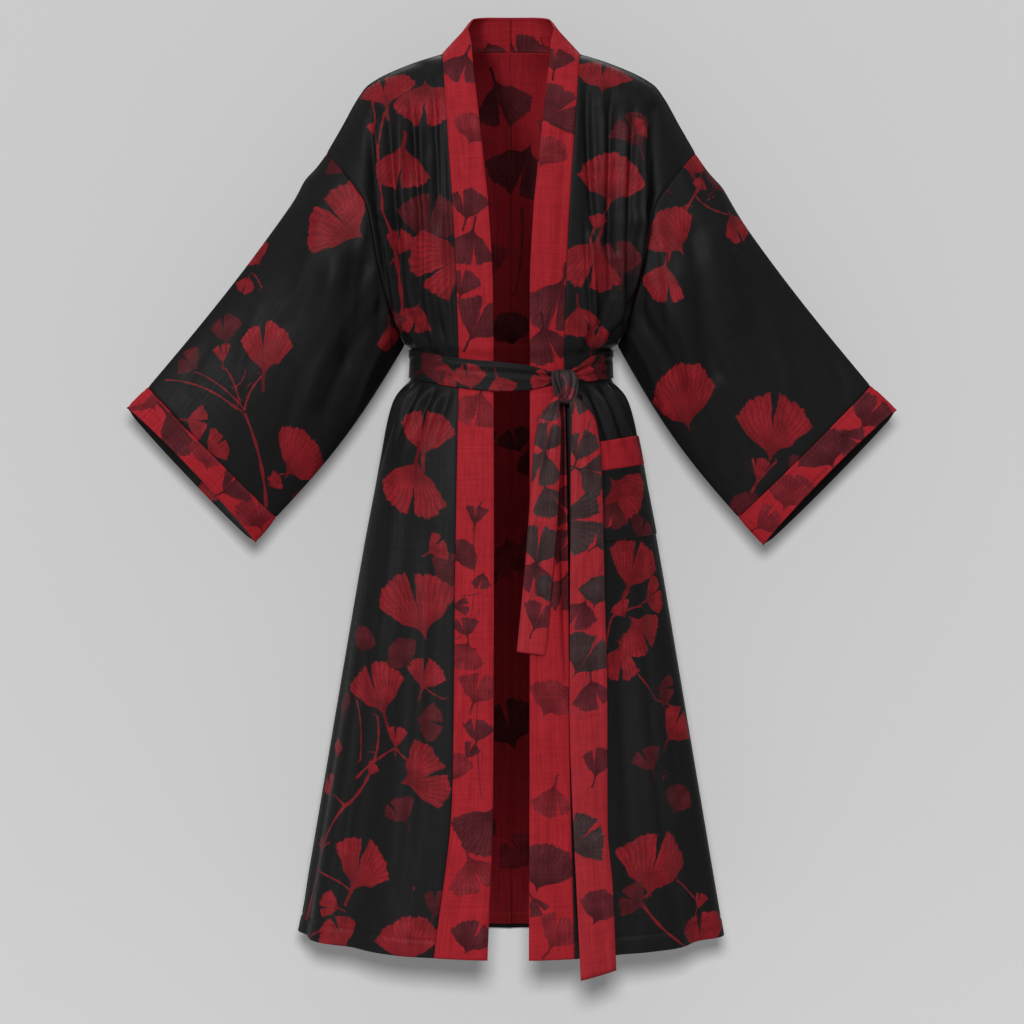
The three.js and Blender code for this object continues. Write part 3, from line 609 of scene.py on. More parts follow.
def grid_faces(rows, columns, start=0):
    """Quads of a grid whose points are numbered row by row."""
    i, j = np.meshgrid(np.arange(rows - 1), np.arange(columns - 1), indexing="ij")
    a = start + i * columns + j
    return np.stack([a, a + columns, a + columns + 1, a + 1], -1).reshape(-1, 4)


def new_mesh(name, points, faces, uv=None, layers=None):
    """A mesh from points in mm and arrays of faces, each with its own number of corners. Cloth
    is smooth and also gets its places on the flat cloth and the layers of its print."""
    sizes = np.concatenate([np.full(len(part), part.shape[1]) for part in faces])
    corners = np.concatenate([part.ravel() for part in faces])
    mesh = bpy.data.meshes.new(name)
    mesh.vertices.add(len(points))
    mesh.vertices.foreach_set("co", (points * MM).ravel())
    mesh.loops.add(len(corners))
    mesh.loops.foreach_set("vertex_index", corners)
    mesh.polygons.add(len(sizes))
    mesh.polygons.foreach_set("loop_start", np.cumsum(sizes) - sizes)
    if uv is not None:
        mesh.uv_layers.new(name="cloth").data.foreach_set("uv", (uv * MM)[corners].ravel())
    for label, values in (layers or {}).items():
        data = mesh.attributes.new(label, "FLOAT_VECTOR", "POINT").data
        data.foreach_set("vector", values.ravel())
    mesh.update(calc_edges=True)
    if uv is not None:
        mesh.shade_smooth()
    return mesh


def twice(values):
    """The rows of a grid's values, once for each face of a shell."""
    return np.concatenate([values.reshape(-1, values.shape[-1])] * 2)


def shell_mesh(name, grid, normal, thickness, rounding, uv, layers, turned_up=0):
    """A closed shell: the outer grid, the inner one, and a rim of quads round their edges. The
    rounding is the radius over which both faces close on the middle at the edges. Inside, a strip
    along the lower edge can show the outer side, turned up, its height given in mm."""
    rows, columns = grid.shape[:2]
    full, away = np.ones(grid.shape[:2]), to_edges(grid)
    if rounding > 0:
        share = np.clip(np.min(list(away.values()), axis=0) / rounding, 0, 1)
        full = np.maximum(np.sqrt(1 - (1 - share) ** 2), THIN_EDGE)
    half = thickness / 2 * normal
    outer = grid - half * (1 - full[..., None])
    inner = grid - half * (1 + full[..., None])
    points = np.concatenate([outer.reshape(-1, 3), inner.reshape(-1, 3)])
    count = rows * columns
    front = grid_faces(rows, columns)
    back = grid_faces(rows, columns, count)[:, ::-1]
    number = np.arange(count).reshape(rows, columns)
    border = np.concatenate([number[:-1, 0], number[-1, :-1], number[:0:-1, -1],
                             number[0, :0:-1]])
    after = np.roll(border, -1)
    rim = np.stack([after, border, border + count, after + count], -1)
    faces = np.concatenate([front, back, rim])
    a, b, c = (points[faces[:, k]] for k in range(3))
    if np.sum(np.cross(b - a, c - a) * np.concatenate(
            [normal.reshape(-1, 3)[front[:, 0]], -normal.reshape(-1, 3)[front[:, 0]],
             np.zeros((len(rim), 3))])) < 0:
        faces = faces[:, ::-1]
    inside = away["b"][:-1, :-1].ravel() >= turned_up
    slots = np.concatenate([0 * front[:, 0], inside, 0 * rim[:, 0]])
    mesh = new_mesh(name, points, [faces], twice(uv),
                    {label: twice(values) for label, values in layers.items()})
    mesh.polygons.foreach_set("material_index", slots)
    return mesh


def cloth_area(grid):
    """Area of a grid in square metres: half the cross product of each quad's diagonals."""
    one = grid[1:, 1:] - grid[:-1, :-1]
    two = grid[1:, :-1] - grid[:-1, 1:]
    return float(np.linalg.norm(np.cross(one, two), axis=-1).sum() / 2) * MM * MM


# %% [markdown]
# ## Where the leaves go
#
# The print shows fans on thin twigs. Each leaf is placed on the cloth itself, so that it bends
# with the folds: its centre is found where the camera sees it, and around that point every
# corner of the grid gets its own place in the leaf, as a share of the leaf's radius. The
# shader later draws the leaf from those numbers. Two leaves that come too near each other go
# into different layers.

# %% Leaf and twig layers
LEAF_LAYERS = ("leaf_a", "leaf_b", "leaf_c", "leaf_d")
TWIG_LAYERS = ("twig_a", "twig_b", "twig_c")
FAN, GHOST, BUD = 1, 2, 3
FAR = 9.0  # written where a layer has no leaf, in leaf radii
LEAF_REACH, TWIG_REACH = 1.5, 6.0  # how far a leaf reaches, in its radii, and a twig, in mm
LEAF_MARGIN = 4  # how far a leaf's numbers go on past its reach, mm
UNSEEN, FACING = 1e5, 0.12  # the pixel given to cloth that faces the camera less than this


def cloth_place(grid, zero_row, zero_column):
    """Distances across and down the cloth in mm, counted from one row and one column."""
    down, across = runs(grid, 0), runs(grid, 1)
    return np.stack([across - across[:, zero_column][:, None], down - down[zero_row]], -1)


def spot_on(grid, uv, spot, x, y):
    """The place on the cloth that is seen at pixel x, y, and the turn from cloth to picture: the
    nearest grid point, a straight map fitted round it, and that map without its stretch."""
    i, j = np.unravel_index(np.argmin(((spot - [x, y]) ** 2).sum(-1)), spot.shape[:2])
    i0, j0 = max(i - 4, 0), max(j - 4, 0)
    near_uv, near_spot = uv[i0:i + 5, j0:j + 5], spot[i0:i + 5, j0:j + 5]
    known = np.all(near_spot < UNSEEN, axis=-1)
    step_uv, step_spot = near_uv[known] - uv[i, j], near_spot[known] - spot[i, j]
    fit = np.linalg.lstsq(step_uv, step_spot, rcond=None)[0].T
    u, stretch, v = np.linalg.svd(fit)
    turn = u @ v
    miss = np.array([x, y]) - spot[i, j]
    return uv[i, j] + PIXEL * turn.T @ miss, turn


def in_leaf(across, down, angle):
    """The sideways and upward place in a leaf that opens at an angle, clockwise from up."""
    a = math.radians(angle)
    return np.stack([across * math.cos(a) + down * math.sin(a),
                     across * math.sin(a) - down * math.cos(a)], -1)


def print_layers(grid, uv, face, leaves, twigs):
    """Three numbers for each grid point and layer. A leaf has its sideways and upward share of
    the radius, and its kind plus a seed. A twig has the distance from its bowed line in mm, the
    share along it, and its width in mm."""
    spot = np.where(normals_of_face(grid, face)[..., None] > FACING, seen(grid, face), UNSEEN)
    layers, nearest, taken = {}, {}, {}
    for label in LEAF_LAYERS + TWIG_LAYERS:
        layers[label] = np.zeros(grid.shape)
        layers[label][..., :2] = FAR
        nearest[label] = np.full(grid.shape[:2], 1e6)
        taken[label] = np.zeros(grid.shape[:2], bool)
    for kind, x, y, size, angle in leaves:
        centre, turn = spot_on(grid, uv, spot, x, y)
        at = (uv - centre) @ turn.T / (size * PIXEL)
        local = in_leaf(at[..., 0], at[..., 1], angle)
        away = np.linalg.norm(local, axis=-1)
        margin = LEAF_MARGIN / (size * PIXEL)
        free = [label for label in LEAF_LAYERS
                if not np.any(taken[label] & (away < LEAF_REACH + 3 * margin))]
        if not free:
            print("no room for the leaf at", x, y)
            continue
        label = free[0]
        inside = away < LEAF_REACH + margin
        closer = away < nearest[label]
        layers[label][closer, :2] = local[closer]
        nearest[label][closer] = away[closer]
        layers[label][inside, 2] = kind + 0.9 * ((0.37 * x + 0.611 * y) % 1)
        taken[label] |= inside
    for x1, y1, x2, y2, bow, width in twigs:
        start, turn = spot_on(grid, uv, spot, x1, y1)
        end, _ = spot_on(grid, uv, spot, x2, y2)
        run = end - start
        length = max(np.hypot(*run), 1e-6)
        run = run / length
        side = np.array([-run[1], run[0]]) * np.sign(np.linalg.det(turn))
        share = (uv - start) @ run / length
        offset = (uv - start) @ side - bow * PIXEL * 4 * share * (1 - share)
        within = (share > -0.02) & (share < 1.02)
        inside = (np.abs(offset) < TWIG_REACH) & within
        label = min(TWIG_LAYERS, key=lambda name: np.sum(taken[name] & inside))
        closer = (np.abs(offset) < 3 * TWIG_REACH) & within & (np.abs(offset) < nearest[label])
        thick = np.where(inside, width * (1 - 0.35 * np.clip(share, 0, 1)), 0)
        values = np.stack([offset, share, thick], -1)
        layers[label][closer] = values[closer]
        nearest[label][closer] = np.abs(offset)[closer]
        taken[label] |= inside
    return layers


# %% [markdown]
# ## The sprays
#
# Three kinds of leaf are printed: open fans, the same fans washed out, and small buds. Each
# row says the kind, the place, the radius and the direction in which the fan opens, clockwise
# from up. Most are set where the robe shows leaves, but each is drawn anew from its own seed;
# a row of dark fans on the wearer's left band, between the two hanging ends, is painted shade.
# The hidden sides carry sprays of the same kind in other places.

# %% Sprays on the front and the sleeves
SPRAYS = {
    ("front", -1, -1): ([
        (FAN, 386, 91, 29, -8), (FAN, 426, 100, 32, 176), (FAN, 400, 166, 29, 190),
        (GHOST, 431, 221, 32, 10), (FAN, 441, 262, 35, 250), (FAN, 400, 244, 16, 20),
        (BUD, 372, 128, 10, -10), (FAN, 414, 318, 19, 200), (GHOST, 392, 322, 23, 150),
        (FAN, 425, 434, 29, 8), (FAN, 412, 486, 36, 196), (GHOST, 452, 575, 23, 30),
        (FAN, 417, 606, 39, -12), (FAN, 436, 548, 14, 60), (FAN, 378, 690, 31, -14),
        (FAN, 425, 676, 20, 20), (BUD, 396, 738, 14, 8), (FAN, 423, 776, 30, 70),
        (FAN, 362, 868, 33, 28), (FAN, 331, 787, 16, -20), (FAN, 338, 750, 13, 10),
        (FAN, 408, 941, 28, -4), (FAN, 338, 934, 20, -30), (GHOST, 402, 655, 18, -40),
        (GHOST, 362, 640, 16, 10), (GHOST, 428, 722, 18, 100), (GHOST, 400, 812, 17, -30),
        (BUD, 322, 846, 10, -20), (GHOST, 345, 705, 14, -20), (BUD, 372, 770, 9, 40),
        (FAN, 330, 905, 14, -70), (GHOST, 438, 905, 17, 20)],
        [(372, 100, 380, 150, 3, 3.6), (384, 112, 380, 150, -2, 3.1), (380, 150, 392, 232, 4, 4.2),
         (392, 232, 404, 318, -3, 4.2), (306, 918, 344, 806, -6, 4.8), (344, 806, 374, 762, 4, 4.2),
         (374, 762, 378, 716, 3, 3.4), (356, 778, 396, 748, -3, 3.4), (360, 760, 356, 700, 3, 2.5),
         (396, 748, 420, 768, 2, 2.5), (318, 870, 350, 890, -3, 2.8), (330, 842, 322, 852, 1, 2.2),
         (413, 640, 408, 668, 2, 2.8), (408, 668, 446, 700, 4, 2.2), (324, 930, 300, 944, 2, 2.8),
         (344, 806, 334, 794, 1, 2.5)]),
    ("front", 1, -1): ([
        (FAN, 603, 76, 28, 6), (FAN, 613, 180, 32, 10), (FAN, 590, 262, 33, 200),
        (GHOST, 634, 132, 25, -20), (FAN, 580, 320, 20, 170), (GHOST, 622, 260, 23, 10),
        (BUD, 598, 222, 10, 10), (FAN, 640, 130, 13, 60), (FAN, 596, 340, 17, 20),
        (FAN, 634, 566, 31, 20), (FAN, 652, 596, 18, 70), (FAN, 640, 633, 26, 140),
        (FAN, 618, 662, 22, 190), (FAN, 676, 727, 22, 40), (GHOST, 664, 690, 15, 100),
        (FAN, 655, 866, 38, 12), (FAN, 702, 934, 26, -6), (BUD, 700, 902, 10, 20),
        (GHOST, 634, 900, 17, -60), (GHOST, 676, 800, 18, 20), (BUD, 622, 610, 11, -30),
        (GHOST, 648, 760, 16, -20)],
        [(640, 900, 690, 950, 5, 3.6), (652, 894, 640, 900, 1, 3.4), (676, 880, 700, 905, -3, 2.8),
         (628, 590, 612, 618, -2, 3.1), (612, 618, 606, 660, 2, 2.8), (640, 606, 612, 618, 2, 2.5),
         (598, 222, 590, 250, 2, 3.1), (612, 198, 598, 222, -2, 2.8), (620, 640, 655, 700, 5, 2.5),
         (655, 700, 680, 712, -2, 2.2), (606, 152, 600, 186, 3, 2.8)]),
    ("sleeve", -1, -1): ([
        (FAN, 342, 221, 39, -52), (GHOST, 347, 158, 23, -36), (FAN, 257, 256, 16, -30),
        (FAN, 246, 284, 12, 200), (FAN, 266, 350, 30, 6), (BUD, 222, 354, 12, -8),
        (GHOST, 226, 330, 18, -4), (FAN, 300, 458, 29, 42), (FAN, 389, 336, 16, 170),
        (GHOST, 300, 500, 16, 120), (BUD, 274, 482, 10, 60), (GHOST, 190, 362, 15, -50),
        (FAN, 196, 422, 15, 100), (FAN, 216, 446, 15, 60), (FAN, 364, 186, 12, 150)],
        [(266, 506, 244, 412, 5, 4.5), (244, 412, 262, 376, -4, 3.6), (240, 404, 224, 366, 3, 3.1),
         (238, 410, 166, 380, 7, 2.5), (268, 480, 288, 474, -2, 2.8), (240, 404, 196, 372, 3, 2),
         (374, 246, 402, 262, -3, 3.4), (234, 388, 246, 370, 3, 2), (262, 288, 252, 272, 1, 2.2)]),
    ("sleeve", 1, -1): ([
        (FAN, 689, 158, 30, 8), (FAN, 670, 234, 29, -36), (FAN, 663, 281, 26, 196),
        (FAN, 735, 227, 20, 150), (GHOST, 716, 182, 24, 40), (FAN, 683, 398, 37, -14),
        (FAN, 773, 428, 38, 6), (BUD, 759, 470, 14, 14), (GHOST, 655, 180, 17, -50),
        (BUD, 700, 182, 11, 200), (GHOST, 744, 505, 15, -20), (FAN, 646, 160, 13, -60),
        (GHOST, 800, 476, 18, 60), (BUD, 660, 128, 10, -20)],
        [(700, 186, 668, 262, 4, 3.6), (694, 196, 726, 216, 5, 3.1), (690, 160, 700, 190, 2, 3.6),
         (736, 520, 758, 478, 2, 3.6), (744, 506, 776, 462, -3, 3.4), (690, 204, 664, 224, 2, 2.8),
         (664, 130, 692, 176, 3, 2.8)]),
    ("cuff", -1, -1): ([
        (FAN, 180, 430, 33, 140), (GHOST, 148, 398, 20, -30), (FAN, 232, 488, 20, 60),
        (GHOST, 256, 514, 22, -20), (GHOST, 208, 456, 20, 10)],
        [(190, 440, 250, 500, 4, 1.4)]),
    ("cuff", 1, -1): ([
        (FAN, 872, 414, 24, 30), (FAN, 826, 452, 27, -30), (GHOST, 792, 494, 24, 20),
        (FAN, 852, 442, 17, 120), (GHOST, 768, 522, 18, 60)],
        [(790, 500, 830, 470, 3, 1.4)]),
    ("band", -1, -1): ([
        (FAN, 462, 66, 24, 200), (FAN, 468, 206, 20, 10), (FAN, 470, 246, 24, 192),
        (FAN, 462, 284, 17, 10), (FAN, 480, 322, 27, 30), (BUD, 476, 516, 13, 10),
        (FAN, 464, 555, 15, 60), (FAN, 466, 628, 13, -10), (GHOST, 464, 655, 18, 200),
        (GHOST, 478, 690, 20, 20), (FAN, 478, 732, 15, 10), (BUD, 470, 752, 11, 30),
        (FAN, 486, 830, 30, 200), (GHOST, 474, 874, 24, 160), (BUD, 482, 580, 11, 190),
        (GHOST, 454, 768, 18, 10), (FAN, 472, 938, 20, 20), (BUD, 460, 606, 11, 90),
        (GHOST, 474, 130, 20, 20), (GHOST, 476, 408, 24, 200)],
        [(482, 500, 474, 560, 3, 2.0), (474, 560, 470, 624, -2, 1.8), (478, 690, 482, 800, 3, 1.8),
         (462, 596, 482, 592, 1, 1.6), (456, 640, 480, 610, 2, 1.6)]),
    ("band", 1, -1): ([
        (FAN, 556, 304, 33, 196), (FAN, 546, 344, 26, 170), (FAN, 558, 110, 28, 60),
        (GHOST, 546, 152, 20, 20), (FAN, 542, 868, 29, 12), (GHOST, 552, 700, 22, 30),
        (FAN, 556, 60, 20, 10), (GHOST, 560, 424, 24, 0), (BUD, 536, 905, 13, 150),
        # the five fans near x 560, from y 412 down to 592, are painted shade: dark fans where the
        # band between the hanging ends lies in shade
        (GHOST, 558, 934, 22, 30), (FAN, 562, 412, 20, 100), (FAN, 560, 456, 22, 60),
        (FAN, 562, 502, 24, 140), (FAN, 562, 548, 21, 20), (FAN, 561, 592, 21, 200),
        (GHOST, 552, 800, 20, 190)], []),
    ("pocket", 1, -1): ([
        (FAN, 622, 497, 30, 138), (GHOST, 612, 514, 18, 200), (GHOST, 640, 530, 16, 30)],
        [(608, 468, 600, 456, 1, 2)]),
    ("pocket_band", 1, -1): ([(GHOST, 640, 444, 22, 20)], []),
    ("belt_tail_short", 1, -1): ([
        (FAN, 556, 408, 17, 190), (FAN, 546, 438, 20, 10), (FAN, 540, 466, 22, 200),
        (FAN, 550, 500, 20, 160), (FAN, 540, 546, 25, 14), (GHOST, 534, 576, 20, 190),
        (FAN, 546, 590, 15, 60), (GHOST, 540, 618, 18, 30)],
        [(548, 410, 540, 446, 2, 1.8), (552, 430, 534, 530, -2, 1.8),
         (545, 530, 530, 600, -2, 1.8)]),
    ("belt_tail_long", 1, -1): ([
        (FAN, 576, 402, 16, 170), (FAN, 582, 448, 19, 20), (FAN, 594, 474, 23, 110),
        (FAN, 576, 524, 30, 100), (FAN, 598, 592, 18, 10), (GHOST, 580, 614, 18, 200),
        (FAN, 586, 656, 26, 30), (GHOST, 592, 694, 20, 170), (GHOST, 598, 764, 18, 10),
        (FAN, 584, 840, 25, 60), (GHOST, 600, 908, 20, 20), (FAN, 604, 540, 15, 60)],
        [(596, 640, 580, 720, 3, 1.8), (590, 420, 578, 500, 3, 1.8), (604, 560, 584, 640, 3, 1.6)]),
}
BELT_LEAVES = [  # share along the belt from the knot round the wearer's right, across, radius
    (0.028, 0.1, 22, 80), (0.11, 0.3, 20, 200), (0.17, 0.1, 22, 10), (0.255, -0.1, 30, 300),
    (0.215, 0.2, 24, 120), (0.35, 0.3, 22, 80),
    (0.45, 0.0, 20, 200), (0.55, -0.3, 17, 30), (0.64, 0.2, 22, 120), (0.73, 0, 16, 250),
    (0.83, -0.2, 20, 60), (0.92, 0.1, 21, 280), (0.985, 0, 18, 90), (0.962, -0.25, 22, 250),
    (0.942, 0.25, 20, 100)]
KNOT_LEAVES = [(FAN, 567, 392, 14, 184), (GHOST, 559, 398, 10, 20)]

# %% Sprays on the back
SPRAYS |= {
    ("back", 1, 1): ([
        (GHOST, 462, 116, 22, -30),
        (FAN, 424, 150, 31, -40), (FAN, 404, 226, 24, 160), (GHOST, 458, 240, 26, 20),
        (BUD, 448, 190, 12, -20), (FAN, 436, 318, 24, 200),
        (FAN, 470, 460, 31, 12), (FAN, 428, 520, 26, -30), (GHOST, 500, 560, 24, 40),
        (FAN, 392, 600, 29, -16), (FAN, 460, 640, 33, 150),
        (GHOST, 420, 700, 24, -60), (FAN, 372, 760, 24, -20), (FAN, 446, 800, 33, 24),
        (FAN, 396, 880, 31, 6), (FAN, 340, 880, 22, -30), (GHOST, 480, 880, 26, 160),
        (FAN, 452, 936, 24, 10), (BUD, 420, 590, 12, 30), (BUD, 402, 820, 12, -10)],
        [(430, 600, 470, 480, -6, 4.2), (448, 545, 430, 540, 2, 3.1), (410, 690, 396, 624, 3, 3.6),
         (380, 930, 440, 830, -8, 4.5), (400, 890, 350, 884, 3, 3.1), (424, 860, 404, 826, 3, 2.8),
         (436, 250, 450, 200, -3, 3.4), (436, 250, 424, 176, 4, 3.1), (500, 190, 506, 280, 3, 3.6)]),
    ("back", -1, 1): ([
        (FAN, 590, 120, 31, 30), (FAN, 562, 214, 26, -20), (GHOST, 612, 200, 24, 60),
        (FAN, 584, 300, 30, 200), (BUD, 566, 150, 12, 10), (FAN, 624, 280, 20, 20),
        (FAN, 556, 430, 26, -14), (GHOST, 590, 470, 24, 30), (FAN, 606, 540, 31, 24),
        (FAN, 552, 580, 24, 190), (FAN, 640, 640, 26, 30), (GHOST, 590, 670, 26, -30),
        (FAN, 612, 760, 33, 160), (FAN, 668, 800, 24, 40),
        (FAN, 560, 850, 31, -20), (GHOST, 636, 880, 24, 10), (FAN, 690, 900, 22, 30),
        (FAN, 600, 935, 24, 0), (BUD, 640, 720, 12, 20)],
        [(560, 230, 562, 160, 3, 3.4), (562, 180, 586, 140, -3, 3.4), (560, 640, 600, 560, 6, 4.2),
         (590, 620, 556, 600, 3, 3.1), (600, 900, 650, 800, 7, 4.5), (616, 860, 570, 870, -3, 3.4),
         (646, 780, 642, 660, 4, 3.6)]),
    ("sleeve", 1, 1): ([
        (FAN, 330, 210, 33, -40), (GHOST, 372, 200, 20, 30), (FAN, 290, 310, 29, 190),
        (FAN, 240, 330, 24, -30), (FAN, 300, 420, 31, 30), (GHOST, 214, 400, 20, 10),
        (BUD, 270, 380, 12, -10), (FAN, 350, 330, 22, 160)],
        [(290, 480, 274, 390, 5, 4.2), (280, 420, 244, 350, 5, 3.4), (340, 240, 370, 290, -3, 3.4)]),
    ("sleeve", -1, 1): ([
        (FAN, 684, 190, 31, 30), (FAN, 640, 240, 22, 190), (GHOST, 730, 260, 24, 60),
        (FAN, 730, 350, 31, 20), (FAN, 786, 400, 26, 40), (BUD, 760, 350, 12, 20),
        (FAN, 700, 430, 24, 160), (GHOST, 744, 460, 20, -20)],
        [(740, 500, 760, 360, -6, 4.2), (752, 420, 782, 424, 2, 3.1), (690, 215, 700, 280, 3, 3.4)]),
    ("cuff", 1, 1): ([
        (FAN, 200, 450, 20, 30), (FAN, 162, 410, 14, 0), (GHOST, 240, 500, 16, 90)], []),
    ("cuff", -1, 1): ([
        (FAN, 850, 420, 18, 30), (FAN, 806, 480, 20, 200), (GHOST, 870, 402, 14, 60)], []),
    ("band", 1, 1): ([(FAN, 502, 36, 24, 10), (GHOST, 474, 36, 14, 200)], []),
    ("band", -1, 1): ([(FAN, 532, 34, 13, 200), (GHOST, 552, 40, 12, 20)], []),
}
SEAM_LEAVES = [  # over the centre-back seam, so they are printed on both halves
    (FAN, 520, 80, 30, 200), (FAN, 500, 150, 34, 160), (GHOST, 540, 250, 26, 20),
    (FAN, 506, 436, 17, 20), (GHOST, 512, 560, 26, 190), (FAN, 514, 742, 32, 14),
    (GHOST, 500, 880, 24, 40), (FAN, 512, 320, 22, 10)]
for side in (1, -1):
    SPRAYS["back", side, 1][0][:0] = SEAM_LEAVES
print("leaves:", sum(len(leaves) for leaves, _ in SPRAYS.values()) + len(BELT_LEAVES))


def layers_for(kind, side, grid, uv):
    """The layers of both faces of a piece: where the back view's sprays reach nearer, they win."""
    layers = None
    for face in (-1, 1):
        if (kind, side, face) not in SPRAYS:
            continue
        leaves, twigs = SPRAYS[kind, side, face]
        more = print_layers(grid, uv, face, leaves, twigs)
        if layers is None:
            layers = more
            continue
        for label, values in more.items():
            old = layers[label]
            wins = (values[..., 2] > 0) | ((old[..., 2] == 0) & (
                np.hypot(values[..., 0], values[..., 1]) < np.hypot(old[..., 0], old[..., 1])))
            layers[label] = np.where(wins[..., None], values, old)
    return layers or print_layers(grid, uv, -1, [], [])


# %% [markdown]
# ## Weave and print as node groups
#
# A slubby cross weave is many fine threads of uneven thickness, some along the cloth and some
# across it. Noise that is stretched a lot in one direction gives such threads, and two of them
# at right angles give the cloth. The leaf is drawn with polar numbers: how far a point lies from
# the foot of the leaf and in which direction. Both are node groups, since every cloth of the
# robe uses them with its own colours.

# %% Node helpers
def calculator(tree):
    """Functions that plug a value or an output into a socket and that add a node: any node with
    its inputs, then math, a smooth range, a colour mix, noise, a stretch and a tint."""
    def plug(socket, value):
        if isinstance(value, bpy.types.NodeSocket):
            tree.links.new(value, socket)
        elif value is not None:
            socket.default_value = value

    def add(kind, inputs=(), **settings):
        node = tree.nodes.new("ShaderNode" + kind)
        for label, value in settings.items():
            setattr(node, label, value)
        for place, value in dict(inputs).items():
            plug(node.inputs[place], value)
        return node

    def calc(operation, *values):
        return add("Math", enumerate(values), operation=operation).outputs[0]

    def span(value, low, high, to_low=0.0, to_high=1.0):
        inputs = {"Value": value, "From Min": low, "From Max": high, "To Min": to_low,
                  "To Max": to_high}
        return add("MapRange", inputs, interpolation_type="SMOOTHSTEP").outputs[0]

    def mix(share, first, second):
        return add("Mix", {0: share, 6: first, 7: second}, data_type="RGBA").outputs[2]

    def noise(vector, scale, detail, dimensions="3D"):
        inputs = {"Vector": vector, "Scale": scale, "Detail": detail}
        return add("TexNoise", inputs, noise_dimensions=dimensions)

    def stretch(vector, factors):
        return add("VectorMath", {0: vector, 1: factors}, operation="MULTIPLY").outputs[0]

    def tint(colour, tone):
        return add("VectorMath", {0: colour, "Scale": tone}, operation="SCALE").outputs[0]

    return plug, add, calc, span, mix, noise, stretch, tint


def open_group(name, inputs, outputs):
    """A shader group with the named sockets, and its input and output nodes."""
    tree = bpy.data.node_groups.new(name, "ShaderNodeTree")
    for way, sockets in (("INPUT", inputs), ("OUTPUT", outputs)):
        for label, kind in sockets:
            tree.interface.new_socket(label, in_out=way, socket_type="NodeSocket" + kind)
    return tree, tree.nodes.new("NodeGroupInput"), tree.nodes.new("NodeGroupOutput")


# %% Weave group
weave, given, made = open_group("slub weave", [("Cloth", "Vector")],
                                [("Tone", "Float"), ("Height", "Float")])
plug, add, calc, span, mix, noise, stretch, tint = calculator(weave)
THREADS = (  # threads per metre across, along, and how strong their tone and height are
    ((1150, 20, 1), 0.32, 0.5), ((20, 1150, 1), 0.26, 0.5),
    ((360, 9, 1), 0.30, 0.3), ((8, 330, 1), 0.16, 0.3), ((60, 50, 1), 0.16, 0.0))
tone, height = 1.0, 0.0
for factors, strong, high in THREADS:
    threads = noise(stretch(given.outputs[0], factors), 1.0, 2.0, "2D").outputs["Fac"]
    swing = calc("SUBTRACT", threads, 0.5)
    tone = calc("MULTIPLY_ADD", swing, strong * 1.6, tone)
    height = calc("MULTIPLY_ADD", swing, high, height)
plug(made.inputs["Tone"], tone)
plug(made.inputs["Height"], height)

# %% Fan leaf group
fan, given, made = open_group("fan leaf", [("Place", "Vector")],
                              [("Mask", "Float"), ("Ghost", "Float"), ("Tone", "Float")])
plug, add, calc, span, mix, noise, stretch, tint = calculator(fan)
# the third number holds the kind before its point and the seed behind it
side_place, up_place, code = add("SeparateXYZ", {0: given.outputs[0]}).outputs
kind = calc("FLOOR", code)
seed = calc("FRACT", code)
# noise moves every place a little, then it is told from the foot of the leaf
joined = add("CombineXYZ", {0: side_place, 1: up_place, 2: calc("MULTIPLY", seed, 37.0)})
wobble = add("SeparateColor", {0: noise(joined.outputs[0], 3.0, 3.0).outputs["Color"]})
drift = [calc("MULTIPLY", calc("SUBTRACT", part, 0.5), 0.16) for part in wobble.outputs[:3]]
across = calc("ADD", side_place, drift[0])
up = calc("ADD", calc("ADD", up_place, 0.9), drift[1])
reach = calc("SQRT", calc("ADD", calc("MULTIPLY", across, across), calc("MULTIPLY", up, up)))
angle = calc("ARCTAN2", across, up)
# the rim lies farther out in the middle of the fan and has waves of four sizes
is_bud = calc("GREATER_THAN", kind, 2.5)
spread = calc("MULTIPLY_ADD", is_bud, -0.25, calc("MULTIPLY_ADD", seed, 0.26, 0.74))
rim = calc("MULTIPLY_ADD", calc("MULTIPLY", angle, angle), -0.24, 1.76)
for waves, depth, phase in ((5.0, 0.045, 31.0), (13.0, 0.03, 57.0), (37.0, 0.02, 83.0),
                            (71.0, 0.014, 19.0)):
    wave = calc("SINE", calc("MULTIPLY_ADD", angle, waves, calc("MULTIPLY", seed, phase)))
    rim = calc("MULTIPLY_ADD", wave, depth, rim)
inside_rim = span(calc("SUBTRACT", rim, reach), 0.0, 0.05)
limit = calc("MULTIPLY", spread, span(reach, 0.0, 0.8, 0.25, 1.0))
inside_sides = span(calc("SUBTRACT", limit, calc("ABSOLUTE", angle)), 0.0, 0.05)
# most fans are split from the rim inwards
slit = calc("ABSOLUTE", calc("SUBTRACT", angle, calc("MULTIPLY_ADD", seed, 0.6, -0.3)))
opening = calc("MULTIPLY", calc("MAXIMUM", calc("SUBTRACT", reach, 0.85), 0.0), 0.085)
outside_slit = calc("MAXIMUM", span(calc("SUBTRACT", slit, opening), -0.01, 0.02),
                    calc("GREATER_THAN", seed, 0.7))
blade = calc("MULTIPLY", calc("MULTIPLY", inside_rim, inside_sides), outside_slit)
# some have a bent stalk
stalk_bend = calc("MULTIPLY", calc("MULTIPLY", up, up), calc("MULTIPLY_ADD", seed, 2.4, -0.5))
stalk = span(calc("SUBTRACT", 0.055, calc("ABSOLUTE", calc("SUBTRACT", across, stalk_bend))), -0.02,
             0.025)
stalk = calc("MULTIPLY", stalk, calc("MULTIPLY", calc("LESS_THAN", up, 0.3),
                                     calc("GREATER_THAN", up, -0.4)))
stalk = calc("MULTIPLY", stalk, calc("LESS_THAN", seed, 0.42))
mask = calc("MULTIPLY", calc("MAXIMUM", blade, stalk), calc("GREATER_THAN", code, 0.5))
